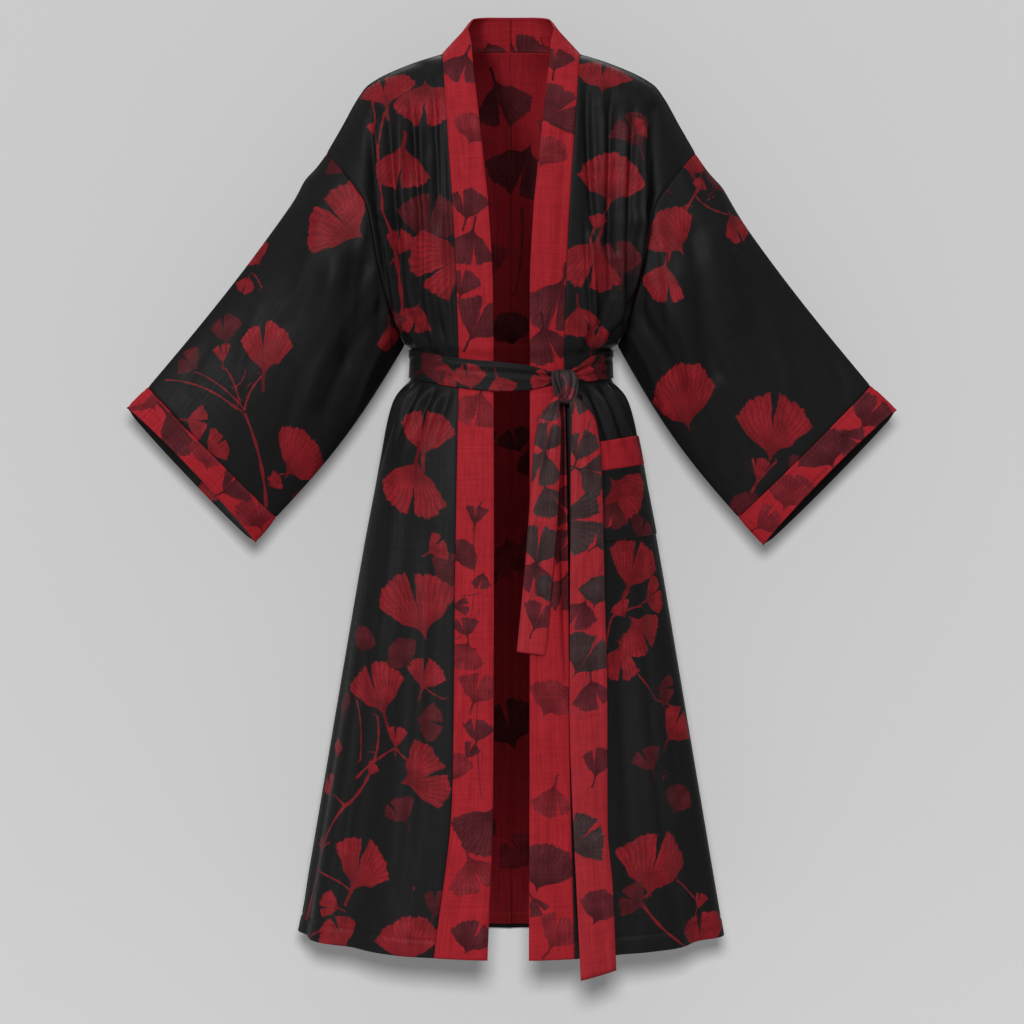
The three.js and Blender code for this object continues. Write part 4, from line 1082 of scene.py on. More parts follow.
# the tone: veins that fan out, a darker foot, and blots
vein = calc("SINE", calc("MULTIPLY_ADD", angle, 52.0, calc("MULTIPLY", drift[2], 50.0)))
vein = calc("MULTIPLY", vein, span(reach, 0.25, 1.2, 0.05, 0.15))
leaf_tone = calc("MULTIPLY", calc("ADD", 0.97, vein), span(reach, 0.15, 1.3, 0.66, 1.04))
blot = noise(joined.outputs[0], 1.3, 4.0).outputs["Fac"]
leaf_tone = calc("MULTIPLY", leaf_tone, span(blot, 0.3, 0.7, 0.74, 1.2))
plug(made.inputs["Mask"], mask)
plug(made.inputs["Ghost"], calc("LESS_THAN", calc("ABSOLUTE", calc("SUBTRACT", kind, 2.0)), 0.5))
plug(made.inputs["Tone"], leaf_tone)

# %% Print group
printed, given, made = open_group(
    "leaf print",
    [("Ground", "Color"), ("Leaf", "Color"), ("Ghost", "Color")]
    + [(label, "Vector") for label in LEAF_LAYERS + TWIG_LAYERS],
    [("Color", "Color")])
plug, add, calc, span, mix, noise, stretch, tint = calculator(printed)
colour = given.outputs["Ground"]
for label in TWIG_LAYERS:
    offset, share, width = add("SeparateXYZ", {0: given.outputs[label]}).outputs
    knots = calc("SINE", calc("MULTIPLY", share, 21.0))
    wide = calc("MULTIPLY", width, calc("MULTIPLY_ADD", knots, 0.16, 0.55))
    line = span(calc("SUBTRACT", wide, calc("ABSOLUTE", offset)), -0.35, 0.45)
    line = calc("MULTIPLY", line, calc("GREATER_THAN", width, 0.4))
    colour = mix(calc("MULTIPLY", line, 0.8), colour, given.outputs["Leaf"])
for label in LEAF_LAYERS:
    leaf = add("Group", node_tree=fan)
    plug(leaf.inputs[0], given.outputs[label])
    ink = mix(leaf.outputs["Ghost"], given.outputs["Leaf"], given.outputs["Ghost"])
    shade = tint(ink, leaf.outputs["Tone"])
    colour = mix(calc("MULTIPLY", leaf.outputs["Mask"], 0.96), colour, shade)
plug(made.inputs["Color"], colour)

# %% [markdown]
# ## The cloths
#
# Both faces are the same weave. The outside is printed near black and keeps a faint satin
# shine on its folds, the reverse is a dusty red. Such cloth scatters light widely, so it gets a
# rough surface with little gloss, rougher still between the threads.

# %% Cloth materials
OUTSIDE = {"Ground": (0.0064, 0.0058, 0.0060), "Leaf": (0.156, 0.0072, 0.0110),
           "Ghost": (0.055, 0.0060, 0.0082)}
REVERSE = {"Ground": (0.238, 0.0100, 0.0154), "Leaf": (0.056, 0.0088, 0.0118),
           "Ghost": (0.130, 0.0105, 0.0150)}
BELTING = {"Ground": (0.240, 0.0130, 0.0185), "Leaf": (0.027, 0.0195, 0.0202),
           "Ghost": (0.070, 0.0100, 0.0140)}
WRAPPED = {"Ground": (0.0235, 0.0155, 0.0165), "Leaf": (0.150, 0.0190, 0.0260),
           "Ghost": (0.070, 0.0130, 0.0165)}


def new_material(name, make_inputs):
    """A material whose standard shader gets the inputs that a function makes for its tree."""
    material = bpy.data.materials.new(name)
    material.use_nodes = True
    tree = material.node_tree
    shader = next(node for node in tree.nodes if node.type == "BSDF_PRINCIPLED")
    for label, value in make_inputs(tree).items():
        calculator(tree)[0](shader.inputs[label], value)
    return material


def cloth_material(name, colours, roughness, gloss):
    """The print tinted by the weave's tone, with the weave's height as a fine bump."""
    def inputs(tree):
        plug, add, calc, span, mix, noise, stretch, tint = calculator(tree)
        threads, ink = add("Group", node_tree=weave), add("Group", node_tree=printed)
        plug(threads.inputs[0], add("UVMap", uv_map="cloth").outputs[0])
        for label, value in colours.items():
            plug(ink.inputs[label], (*value, 1))
        for label in LEAF_LAYERS + TWIG_LAYERS:
            plug(ink.inputs[label], add("Attribute", attribute_name=label).outputs["Vector"])
        tone = threads.outputs["Tone"]
        bump = {"Strength": 0.35, "Distance": 0.0006, "Height": threads.outputs["Height"]}
        return {"Base Color": tint(ink.outputs["Color"], tone),
                "Roughness": span(tone, 0.6, 1.4, roughness + 0.08, roughness - 0.08),
                "Normal": add("Bump", bump).outputs[0], "Specular IOR Level": gloss}

    return new_material(name, inputs)


outside_cloth = cloth_material("outside_cloth", OUTSIDE, 0.52, 0.08)
reverse_cloth = cloth_material("reverse_cloth", REVERSE, 0.68, 0.06)
belt_cloth = cloth_material("belt_cloth", BELTING, 0.62, 0.08)
knot_cloth = cloth_material("knot_cloth", WRAPPED, 0.55, 0.14)
print("materials:", outside_cloth.name, reverse_cloth.name, belt_cloth.name, knot_cloth.name)

# %% [markdown]
# ## Making the panels
#
# Each panel takes its folds, then its normals, then its thickness. The hem is turned up and
# stitched, so its last 24 mm stand a little prouder, with a fine valley along the stitches.

# %% Make, declare and keep a piece
PIECES = {  # thickness and edge rounding in mm, outer and inner cloth, slot, flat size in m, m2
    "front": (1.2, 0, outside_cloth, reverse_cloth, "print_cloth", (0.36, 1.37), 0.245),
    "back": (1.2, 0, outside_cloth, reverse_cloth, "print_cloth", (0.43, 1.33), 0.37),
    "band": (2.4, 1.6, reverse_cloth, reverse_cloth, "reverse_cloth", (0.056, 1.5), 0.08),
    "sleeve": (1.2, 0, outside_cloth, reverse_cloth, "print_cloth", (0.62, 0.40), 0.22),
    # the cuff's inner face is the near-black outside cloth: painted shade on the inside that shows
    # below its front edge
    "cuff": (2.4, 1.5, reverse_cloth, outside_cloth, "reverse_cloth", (0.57, 0.05), 0.0275),
    "pocket_band": (1.8, 1, reverse_cloth, reverse_cloth, "reverse_cloth", (0.14, 0.043), 0.0058),
    "pocket": (1.4, 1, outside_cloth, reverse_cloth, "print_cloth", (0.155, 0.103), 0.015),
    "belt": (2.2, 1.2, outside_cloth, reverse_cloth, "belt_cloth", (0.041, 0.86), 0.0335),
    "belt_tail_short": (2.2, 1.3, belt_cloth, belt_cloth, "belt_cloth", (0.042, 0.37), 0.0145),
    "belt_tail_long": (2.2, 1.3, belt_cloth, belt_cloth, "belt_cloth", (0.052, 0.83), 0.042)}
sewn = []  # kind, node, piece, grid and normals of the cloth, how it is held and what it rests on


def body_normals(grid):
    """Outward normals of a body panel: away from the upright line through the middle."""
    return outward(grid, grid * [0, 0, 1])


def sew(kind, node, cloth, uv, layers, rests_on, normals=body_normals, held="hung"):
    """Makes the piece of cloth that stands for a CAD node, and keeps it for its stitches."""
    thickness, rounding, outer, inner, slot, _flat, _area = PIECES[kind]
    normal = normals(cloth)
    mesh = shell_mesh(node + ".cloth", cloth, normal, thickness, rounding, uv, layers,
                      HEM_TURN if kind in ("front", "back") else 0)
    piece = placed(node + ".cloth", mesh)
    for material in (outer, inner):
        mesh.materials.append(material)
    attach(piece, "root")
    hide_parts(node)
    sewn.append((kind, node, piece, cloth, normal, held, rests_on))
    print(f"{piece.name}: {len(mesh.polygons)} faces, {cloth_area(cloth):.4f} square metres")


def hem_step(grid, phase):
    """The turned-up hem: a step outwards below the stitch line, a valley along it, and a slow
    ripple that starts at a phase."""
    above = to_edges(grid)["b"]
    step = HEM_STEP * smooth((HEM_DEPTH - above) / 2.5)
    valley = -HEM_VALLEY * bell(above - HEM_DEPTH, 2.2)
    ripple = RIPPLE_HEIGHT * np.sin(grid[..., 0] * 0.11 + grid[..., 2] * 0.02 + phase)
    return step + valley + ripple * smooth((RIPPLE_REACH - above) / RIPPLE_REACH)


PANELS = {"front": (FRONT_FOLDS, FRONT_CREASES, -1), "back": (BACK_FOLDS, BACK_CREASES, 1)}
PANEL_SEAMS = {"front": {"t": 0.15, "l": 0.15, "r": 0.15}, "back": {"t": 0.5, "l": 0.25, "r": 0.15}}
ARMPIT_ROW = len(YOKE) - 1


def pushed(grid, out):
    """The grid moved along its outward normals."""
    return grid + body_normals(grid) * out[..., None]


def sewn_shut(grid, sides):
    """The named edges moved on by half the gap that the solids keep, so that no light passes."""
    grid = grid.copy()
    for edge, length in sides.items():
        last, before = {"t": ((0,), (1,)), "b": ((-1,), (-2,)),
                        "l": ((slice(None), 0), (slice(None), 1)),
                        "r": ((slice(None), -1), (slice(None), -2))}[edge]
        grid[last] += length * unit(grid[last] - grid[before])
    return grid


def body_panel(kind, side, grid):
    """The folds of a body panel, faded out at its shoulder and sleeve seams above the armpit."""
    folds, creases, face = PANELS[kind]
    yoke = np.where(np.arange(len(grid))[:, None] < ARMPIT_ROW, edge_fade(grid, SEAM_FADE, "tr"),
                    edge_fade(grid, SEAM_FADE, "t"))
    soft = flat_folds(grid, folds) * edge_fade(grid, SEAM_FADE, "tlr")
    narrow = CREASES_BY * drawn_folds(grid, creases, face) * yoke
    out = soft + narrow + GATHERS_BY * gathers(grid, GATHERS[side])
    return out + seam_valley(grid, SEAM_DEPTH, SEAM_WIDTH, "lr") + hem_step(grid, 0.7 * side)


for name, side in SIDES.items():
    for kind, grid in (("front", front_grid(side)), ("back", back_grid(side))):
        uv = cloth_place(grid, ARMPIT_ROW, 0)
        layers = layers_for(kind, side, grid, uv)
        cloth = sewn_shut(pushed(grid, body_panel(kind, side, grid)), PANEL_SEAMS[kind])
        sew(kind, f"{kind}_{name}", cloth, uv, layers, ["belt"])

# %% [markdown]
# ## Bands
#
# The front band is one strip, folded double, so its edges are round and it stands a little
# proud of the front. It is pressed flat and falls straight, with a pressed crease low on the
# wearer's right side.

# %% Front bands
BAND_CREASES = {
    -1: [(469, 640, 461, 806, 0, 2.6, -2.2), (474, 640, 466, 806, 0, 3, 1.4),
         (462, 380, 466, 470, 0, 4, 1.2), (486, 390, 484, 560, 0, 5, -1.0),
         (450, 800, 444, 950, 0, 5, 1.2), (480, 850, 476, 955, 1, 4, -1.3),
         (460, 180, 474, 350, 1, 6, 1.0), (474, 110, 482, 350, 2, 5, -1.4),
         (455, 90, 464, 220, 1, 5, -1.2), (476, 560, 472, 700, 1, 4, 1.3),
         (488, 600, 486, 800, 0, 4, 1.2)],
    1: [(565, 372, 570, 700, 2, 6.5, -9.6), (574, 600, 582, 956, 1, 7, -4.3),
        (548, 640, 546, 950, 1, 7, 1.4),
        (560, 400, 562, 640, 1, 6, -1.4), (556, 120, 548, 340, -1, 7, 1.0),
        (538, 860, 536, 955, 0, 4, -1.0), (540, 600, 538, 800, 1, 4, -1.4),
        (566, 90, 560, 250, -1, 5, -1.3), (552, 200, 545, 350, 1, 5, 1.2)]}
for name, side in SIDES.items():
    grid = band_grid(side)
    uv = cloth_place(grid, len(grid) - 1, 0)
    layers = layers_for("band", side, grid, uv)
    out = BAND_CREASES_BY * drawn_folds(grid, BAND_CREASES[side], -1) * edge_fade(grid, 5, "lr")
    out += 0.7 * edge_fade(grid, 3, "l") - 1.4 * (1 - edge_fade(grid, 7, "r"))
    sew("band", f"band_{name}", pushed(grid, out), uv, layers, [f"front_{name}", f"back_{name}"])

# %% [markdown]
# ## Sleeves and cuffs
#
# The sleeve hangs from the dropped shoulder and falls into long diagonal folds that start at
# the armpit. The cuff is a strip of the reverse, turned up over the end and stitched down, which
# makes it stand proud and pucker along its seam. Its back half hangs a little longer, so its inner
# side shows below the front edge, made near black as painted shade.

# %% Sleeves and cuffs
CUFF_BEHIND, CUFF_BEFORE = 9.0, -7.0  # how much longer its back and front halves hang, mm
SEAM_PUCKER, MOUTH_PUCKER = 6, 5  # how far from the cuff's seam and mouth it puckers, mm


def tube_normals(grid):
    """Outward normals of a sleeve: away from the middle of each ring."""
    return outward(grid, grid.mean(axis=1, keepdims=True))


def sleeve_relief(grid):
    """The sleeve's folds, drawn from both sides, and the valleys along its seams."""
    out = flat_folds(grid, SLEEVE_FOLDS)
    for face, rows in SLEEVE_CREASES.items():
        out = out + drawn_folds(grid, rows, face)
    return out * edge_fade(grid, 16, "tblr") + seam_valley(grid, 0.9, 2.6, "tb")


def cuff_shape(grid, side):
    """The cuff's grid with its back hanging longer than its front, and its relief: puckers along
    the seam and the mouth, and a slow swell between them."""
    down, across = runs(grid, 0), runs(grid, 1)
    depth = grid[-1, :, 1] - grid[-1, :, 1].mean()
    behind, bulge = smooth(depth / 12 + 0.2), np.abs(depth / depth.max()).clip(0, 1) ** 0.8
    longer = blend(2.0, blend(CUFF_BEFORE, CUFF_BEHIND, behind), bulge) * down / down[-1:]
    grid = grid + unit(grid[-1] - grid[-2]) * longer[..., None]
    down = runs(grid, 0)
    pucker = np.sin(across * 0.45 + 2 * np.sin(across * 0.07))
    out = 1.1 * edge_fade(grid, 3, "t")
    out -= (0.9 + 0.35 * pucker) * bell(down - SEAM_PUCKER, 3.5)
    out -= (0.7 + 0.3 * pucker) * bell(down[-1:] - down - MOUTH_PUCKER, 2.6)
    return grid, out + 0.6 * np.sin(across * 0.05 + side) * np.sin(np.pi * down / 50)


for name, side in SIDES.items():
    for kind, grid in zip(("sleeve", "cuff"), sleeve_grids(side)):
        uv = cloth_place(grid, len(grid) - 1 if kind == "sleeve" else 0, len(HALF_ROUND) - 1)
        layers = layers_for(kind, side, grid, uv)
        grid, out = (grid, sleeve_relief(grid)) if kind == "sleeve" else cuff_shape(grid, side)
        cloth = sewn_shut(grid + tube_normals(grid) * out[..., None],
                          {"t": 0.2, "b": 0.2, "l": 0.15, "r": 0.15})
        rests = [f"front_{name}"] if kind == "sleeve" else [f"sleeve_{name}"]
        sew(kind, f"{kind}_{name}", cloth, uv, layers, rests, tube_normals)

# %% [markdown]
# ## Pocket
#
# A patch pocket lies on the wearer's left front. Its mouth is bound with a red strip and gapes
# a little, because a pocket hangs from its two upper corners.

# %% Pocket and its band
POCKET_TOP, POCKET_SEAM, POCKET_BOTTOM = 555, 597, 698
POCKET_OUT = 2.4
for kind, top, bottom in (("pocket_band", POCKET_TOP, POCKET_SEAM),
                          ("pocket", POCKET_SEAM, POCKET_BOTTOM)):
    u = 0.5 - 0.4 * np.cos(np.pi * np.linspace(0, 1, 60))
    drops = blend(top, bottom, eased(44))[:, None]
    turn = blend(edge_turn(1, SEAM, drops), 90, u[None, :])
    grid = ring(drops, turn, 1)
    across = np.broadcast_to((u - 0.1) / 0.8, grid.shape[:2])
    out = POCKET_OUT + gathers(grid, GATHERS[1]) * 0.75
    gape = np.sin(np.pi * np.clip(across, 0, 1)) * np.exp(-((drops - POCKET_TOP) / 34))
    out = out + 3.0 * gape
    out -= seam_valley(grid, -0.7, 2.2, "b" if kind == "pocket" else "t")
    out += np.where(drops < POCKET_SEAM, 0.5, 0) * edge_fade(grid, 2, "b")
    out += 1.2 * bell(drops - 640 + 22 * across, 9) * np.sin(np.pi * across)
    uv = cloth_place(grid, 0, 0)
    sew(kind, kind, pushed(grid, out), uv, layers_for(kind, 1, grid, uv), ["front_left"])

# %% [markdown]
# ## Belt
#
# The belt is a long strip, folded double. It lies flat round the waist, with one lengthwise
# fold that shows as a light upper edge, and is drawn together where it runs into the knot.

# %% Belt round the waist
BELT_DROP, BELT_WIDTH, BELT_OUT = 450, 41, 3.2
KNOT_TURN, KNOT_SAG, BELT_END = 30, 9, 3
BELT_PINCH = [[0, 0.34], [8, 0.5], [22, 0.86], [38, 1]]
share = eased(420)
edge = 0.5 * np.sin(np.linspace(-0.5, 0.5, 22) * np.pi)[:, None]
sweep = 360 - 2 * BELT_END
angle = KNOT_TURN - BELT_END - sweep * share
away = np.minimum(KNOT_TURN - angle, sweep + 2 * BELT_END - (KNOT_TURN - angle))
turn = np.abs((angle + 180) % 360 - 180)
pinch = read(BELT_PINCH, away)[:, 0]
drop = BELT_DROP + edge * BELT_WIDTH * pinch + KNOT_SAG * (1 - pinch)
halves = [ring(drop, turn[None, :] + 0 * drop, side, BELT_OUT) for side in (1, -1)]
grid = np.where(((angle % 360) < 180)[None, :, None], halves[0], halves[1])
uv = cloth_place(grid, 0, 0)[..., ::-1]
spot_x = runs(grid, 1)
length = spot_x[:, -1:].mean()
layers = print_layers(grid, uv, -1, [], [])
for k, (along, side_share, radius, turned) in enumerate(BELT_LEAVES):
    local = in_leaf((spot_x - along * length) / radius, (edge - side_share) * BELT_WIDTH / radius,
                    turned)
    inside = np.linalg.norm(local, axis=-1) < LEAF_REACH + 0.05
    label = LEAF_LAYERS[k % 4]
    layers[label][inside, :2] = local[inside]
    layers[label][inside, 2] = (GHOST if k % 4 == 3 else FAN) + 0.9 * ((0.37 * k) % 1)
near = bell(away, 26)[None, :]
wave = np.sin(share * 60 + 3 * np.sin(share * 17))[None, :]
out = 0.9 * bell(edge + 0.30 + 0.02 * wave, 0.06) - 0.9 * bell(edge + 0.17 + 0.02 * wave, 0.07)
out = out + 0.25 * wave * np.cos(np.pi * edge)
for height, at, width in ((2.6, 0.06, 0.10), (-1.6, -0.14, 0.08), (1.6, -0.34, 0.08)):
    out = out + near * height * bell(edge - at, width)
sew("belt", "belt", pushed(grid, out), uv, layers,
    ["front_left", "front_right", "back_left", "back_right"], held="stretched")

# %% [markdown]
# ## Knot and hanging ends
#
# The belt is tied once: one end wraps over the other and both hang down from under the wrap.
# The wrap is a bundle of cloth with folds that run round it, so it is a stack of rings whose
# radius has ridges. The ends start behind it, narrow, and open out to the belt's width.

# %% Knot
KNOT_FOOT, KNOT_HEIGHT, KNOT_SIDES, KNOT_RINGS = -512, 49, 180, 90
KNOT = [  # up from the foot, width, depth, shift, how far its back stands off the belt
    [0, 11, 4, 1.5, 7.5], [1.6, 19, 6.5, 1.2, 7],
    [5, 27, 10, 0.8, 6], [10, 32.5, 13, 0.5, 4.6], [20, 36, 16, 0, 2.5], [34, 40, 17, -1, 0.5],
    [44, 36, 13, -1.5, 0.5], [49, 24, 7, -1, 0.8]]
KNOT_RIDGES = [  # place round the front as a share, lean up the knot, width, height in mm
    (0.12, -0.16, 0.026, -3.0), (0.165, -0.13, 0.024, 1.6), (0.205, -0.10, 0.018, -2.8),
    (0.245, -0.05, 0.022, 1.8), (0.285, 0.02, 0.018, -3.4), (0.32, 0.07, 0.024, 1.8),
    (0.36, 0.12, 0.018, -3.0), (0.40, 0.15, 0.024, 1.4), (0.07, -0.10, 0.02, 1.2),
    (0.445, 0.10, 0.02, -1.8)]
seat = ring(BELT_DROP, KNOT_TURN, 1, BELT_OUT)
half, depth = read(RINGS, BELT_DROP)[:2]
a = math.radians(KNOT_TURN)
facing = unit(np.array([math.sin(a) / half, -math.cos(a) / depth, 0]))
sideways = np.array([-facing[1], facing[0], 0])
rise = eased(KNOT_RINGS)[:, None]
up = KNOT_HEIGHT * rise
width, deep, shift, stand = np.moveaxis(read(KNOT, up), -1, 0)
around = 2 * np.pi * np.arange(KNOT_SIDES + 1)[None, :] / KNOT_SIDES
x = np.sign(np.cos(around)) * np.abs(np.cos(around)) ** 0.7 * width / 2 + shift
out = (0.5 + 0.5 * np.sin(around)) ** 0.8 * deep + stand
folds = sum(height * bell(around / (2 * np.pi) - at - lean * (rise - 0.5), wide)
            for at, lean, wide, height in KNOT_RIDGES)
folds = 1.25 * folds * np.sin(np.pi * rise).clip(0) ** 0.35
x, out = x + folds * np.cos(around), out + folds * np.sin(around).clip(0)
height = KNOT_FOOT + up + 0.9 * np.sin(2 * around) * np.sin(np.pi * rise)
grid = np.stack([seat[0] + x * sideways[0] + out * facing[0],
                 seat[1] + x * sideways[1] + out * facing[1], height + 0 * x], -1)
uv = cloth_place(grid, 0, 0)
shown = KNOT_SIDES // 2 + 1
behind = np.broadcast_to([FAR, FAR, 0], (KNOT_RINGS, KNOT_SIDES + 1 - shown, 3))
knot_layers = {
    label: np.concatenate([values, behind], 1) for label, values in
    print_layers(grid[:, :shown], uv[:, :shown], -1, KNOT_LEAVES, []).items()}


def closed_lump(name, grid, uv, layers):
    """Rings joined all round, with a fan of triangles on the middle of the first and last."""
    rows, columns = grid.shape[0], grid.shape[1] - 1
    ring_points = grid[:, :-1].reshape(-1, 3)
    ends = [grid[0, :-1].mean(axis=0), grid[-1, :-1].mean(axis=0)]
    i, j = np.meshgrid(np.arange(rows - 1), np.arange(columns), indexing="ij")
    k = (j + 1) % columns
    quads = np.stack([i * columns + j, i * columns + k, (i + 1) * columns + k,
                      (i + 1) * columns + j], -1).reshape(-1, 4)
    j = np.arange(columns)
    k, last, foot = (j + 1) % columns, (rows - 1) * columns, rows * columns
    caps = np.concatenate([np.stack([k, j, 0 * j + foot], -1),
                           np.stack([last + j, last + k, 0 * j + foot + 1], -1)])
    places = np.vstack([uv[:, :-1].reshape(-1, 2), uv[0, :1], uv[-1, :1]])
    return new_mesh(name, np.vstack([ring_points, ends]), [quads, caps], places,
                    {label: np.vstack([values[:, :-1].reshape(-1, 3), [[FAR, FAR, 0]] * 2])
                     for label, values in layers.items()})


mesh = closed_lump("belt_knot.cloth", grid, uv, knot_layers)
knot = placed("belt_knot.cloth", mesh)
mesh.materials.append(knot_cloth)
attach(knot, "root")
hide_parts("belt_knot")

# %% Hanging ends
TAILS = {  # height, near and far edge, how far it lifts off the skirt
    "short": [[500, 59, 72, 8], [512.6, 50, 67, 8], [545, 36, 69, 8], [592, 30, 68, 8],
              [663, 25, 65, 7], [734, 20, 60, 4], [866, 8, 49, 1]],
    "long": [[500, 76, 90, 8], [512.6, 80, 103, 8], [537, 84, 117, 9], [592, 82, 124, 9],
             [700, 82, 128, 8], [760, 82, 130, 6], [932, 82, 136, 2], [1117, 88, 138, 0],
             [1196, 92, 145, 0], [1319, 98, 150, 0]]}
TAIL_CREASES = {
    "short": [(553, 398, 536, 480, -4, 4, 2.6), (558, 394, 546, 490, 2, 4, -3.0),
              (562, 396, 554, 460, 2, 3, 2.0),
              (534, 480, 528, 640, 1, 4, 1.5), (546, 500, 540, 650, 0, 4, -1.5)],
    "long": [(574, 394, 586, 490, 5, 4, -3.0), (582, 396, 596, 500, 6, 4, 2.6),
             (569, 396, 575, 460, 2, 3, 2.0),
             (573, 846, 610, 828, 0, 3, -3.4), (572, 850, 610, 832, 0, 3, 2.8),
             (584, 480, 582, 720, 1, 4, 1.6), (596, 560, 600, 800, 1, 5, -1.6),
             (578, 640, 580, 840, 1, 4, -1.3), (592, 720, 596, 840, 1, 4, 1.2),
             (590, 850, 596, 970, 1, 5, 1.4), (600, 860, 606, 970, 0, 4, -1.2)]}
TAIL_OUT = 3.8
TAIL_SLANT = {"short": -6, "long": 12}  # how much lower the near corner of the end hangs, mm


def on_front(x, z, side, out):
    """A point of the skirt's front by its place as seen: the turn is the angle whose sine is x
    over the half width, found again as the drop takes the dip off."""
    drop = -z
    for _ in range(4):
        known = np.minimum(drop, HEM)
        half, _front, _back, dip, _rise = np.moveaxis(read(RINGS, known), -1, 0)
        turn = np.degrees(np.arcsin(np.clip(np.abs(x) / half, 0, 1)))
        drop = -z - dip * np.cos(np.radians(turn)) ** 2
    found = ring(np.minimum(drop, HEM), turn, side, out)
    found[..., 2] = z
    return found


for name, rows in TAILS.items():
    fall = np.concatenate([np.linspace(500, 560, 30)[:-1], np.linspace(560, rows[-1][0], 150)])
    near, far, lift = np.moveaxis(read(rows, fall), -1, 0)
    columns = eased(18)
    x = blend(near[:, None], far[:, None], columns[None, :])
    near_end = smooth((fall - fall[-1] + 110) / 110)[:, None]
    low = fall[:, None] + TAIL_SLANT[name] * near_end * (0.5 - columns)[None, :]
    grid = on_front(x, -low, 1, TAIL_OUT + lift[:, None])
    uv = cloth_place(grid, 0, 0)
    arch = np.exp(-((fall - 500) / 40))[:, None] * np.sin(np.pi * columns)[None, :]
    out = 3.0 * arch + drawn_folds(grid, TAIL_CREASES[name], -1) * edge_fade(grid, 4, "lr")
    out -= 2.2 * (1 - edge_fade(grid, 8, "lr"))
    node = "belt_tail_" + name
    sew(node, node, pushed(grid, out), uv, layers_for(node, 1, grid, uv), ["belt_knot"])

# %% [markdown]
# ## Stitches
#
# Hems, cuffs, bands, belt and pocket are held by a running row of stitches a few millimetres
# from their edge. Each stitch is a thread that dips into the cloth at both ends, so eight small
# triangles are enough for it. They are laid along the pushed cloth, at its own surface.

# %% Rows of stitches
STITCH_LENGTH, STITCH_HALF_WIDTH, STITCH_UP, STITCH_DOWN = 2.5, 0.33, 0.42, 0.5
STITCH_FACES = np.array([[1, 3, 5], [3, 0, 5], [0, 2, 5], [2, 1, 5], [3, 1, 4], [0, 3, 4],
                         [2, 0, 4], [1, 2, 4]])
STITCHED = {  # kind: its rows as edge and distance from it, pitch, thread
    "front": ({"b": HEM_DEPTH}, 3.8, "dark"), "back": ({"b": HEM_DEPTH}, 3.8, "dark"),
    "band": ({"l": 2.4, "r": 2.6}, 3.6, "red"), "cuff": ({"t": 2.6, "b": 3.2}, 3.4, "red"),
    "pocket": ({"l": 2.4, "r": 2.4, "b": 2.4}, 3.4, "dark"),
    "pocket_band": ({"t": 2.4, "b": 2.4}, 3.4, "red"), "belt": ({"t": 2.6, "b": 2.6}, 3.6, "dark"),
    "belt_tail_short": ({"l": 2.6, "r": 2.6, "b": 3}, 3.6, "red"),
    "belt_tail_long": ({"l": 2.6, "r": 2.6, "b": 3}, 3.6, "red")}


def line_on(grid, normal, edge, inset):
    """Points and normals on the grid at a distance from one edge, one for each line across it."""
    if edge in "lr":
        grid, normal = grid.swapaxes(0, 1), normal.swapaxes(0, 1)
    away = runs(grid, 0)
    if edge in "br":
        away = (away[-1:] - away)[::-1]
        grid, normal = grid[::-1], normal[::-1]
    picked = [[[np.interp(inset, away[:, j], values[:, j, k]) for k in range(3)]
               for j in range(grid.shape[1])] for values in (grid, normal)]
    return np.array(picked[0]), np.array(picked[1])


def stitch_mesh(name, lines, pitch):
    """Stitches along each line, one per pitch: two ends in the cloth, two sides, under and top."""
    corners = []
    for points, normal in lines:
        run = np.concatenate([[0], np.cumsum(np.linalg.norm(np.diff(points, axis=0), axis=1))])
        at = np.arange(pitch, run[-1] - pitch, pitch)
        place, ahead, up = (
            np.stack([np.interp(where, run, values[:, k]) for k in range(3)], -1)
            for where, values in ((at, points), (at + 0.5, points), (at, normal)))
        along = unit(ahead - place)
        up = unit(up - along * np.sum(along * up, axis=1, keepdims=True))
        side = np.cross(up, along)
        corners.append(np.stack([
            place - along * STITCH_LENGTH / 2 - up * 0.25,
            place + along * STITCH_LENGTH / 2 - up * 0.25,
            place - side * STITCH_HALF_WIDTH, place + side * STITCH_HALF_WIDTH,
            place - up * STITCH_DOWN, place + up * STITCH_UP], 1))
    corners = np.concatenate(corners)
    faces = STITCH_FACES[None] + 6 * np.arange(len(corners))[:, None, None]
    return new_mesh(name, corners.reshape(-1, 3), [faces.reshape(-1, 3)]), len(corners)


threads = {}
for name, colour in (("dark", (0.020, 0.011, 0.012)), ("red", (0.135, 0.0095, 0.0135))):
    threads[name] = new_material("thread_" + name, lambda tree: {
        "Base Color": (*colour, 1), "Roughness": 0.5, "Specular IOR Level": 0.2})

stitched, total = {}, 0
for kind, node, _piece, cloth, normal, _held, _rests_on in sewn:
    if kind not in STITCHED:
        continue
    rows, pitch, thread = STITCHED[kind]
    lines = [line_on(cloth, normal, edge, inset) for edge, inset in rows.items()]
    mesh, count = stitch_mesh(node + ".stitches", lines, pitch)
    stitched[node] = placed(node + ".stitches", mesh)
    mesh.materials.append(threads[thread])
    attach(stitched[node], "root")
    total += count
print("stitches:", total)

# %% [markdown]
# ## Room and light
#
# The robe is shown against a plain pale wall with a soft shadow just below its edges. The wall
# has its own lamp, over the camera. One broad light comes from the front, left and a little
# above, a second from higher up models the folds, and a pale surrounding light fills the rest.
# The wall is only there for the camera in front of it, so the robe's back is lit as evenly as
# its front.

# %% Wall, floor and lights
def stage_plane(name, corners, material):
    """A flat quad that isn't part of the robe."""
    mesh = bpy.data.meshes.new(name)
    mesh.from_pydata(corners, [], [(0, 1, 2, 3)])
    plane = placed(name, mesh)
    mesh.materials.append(material)
    return plane


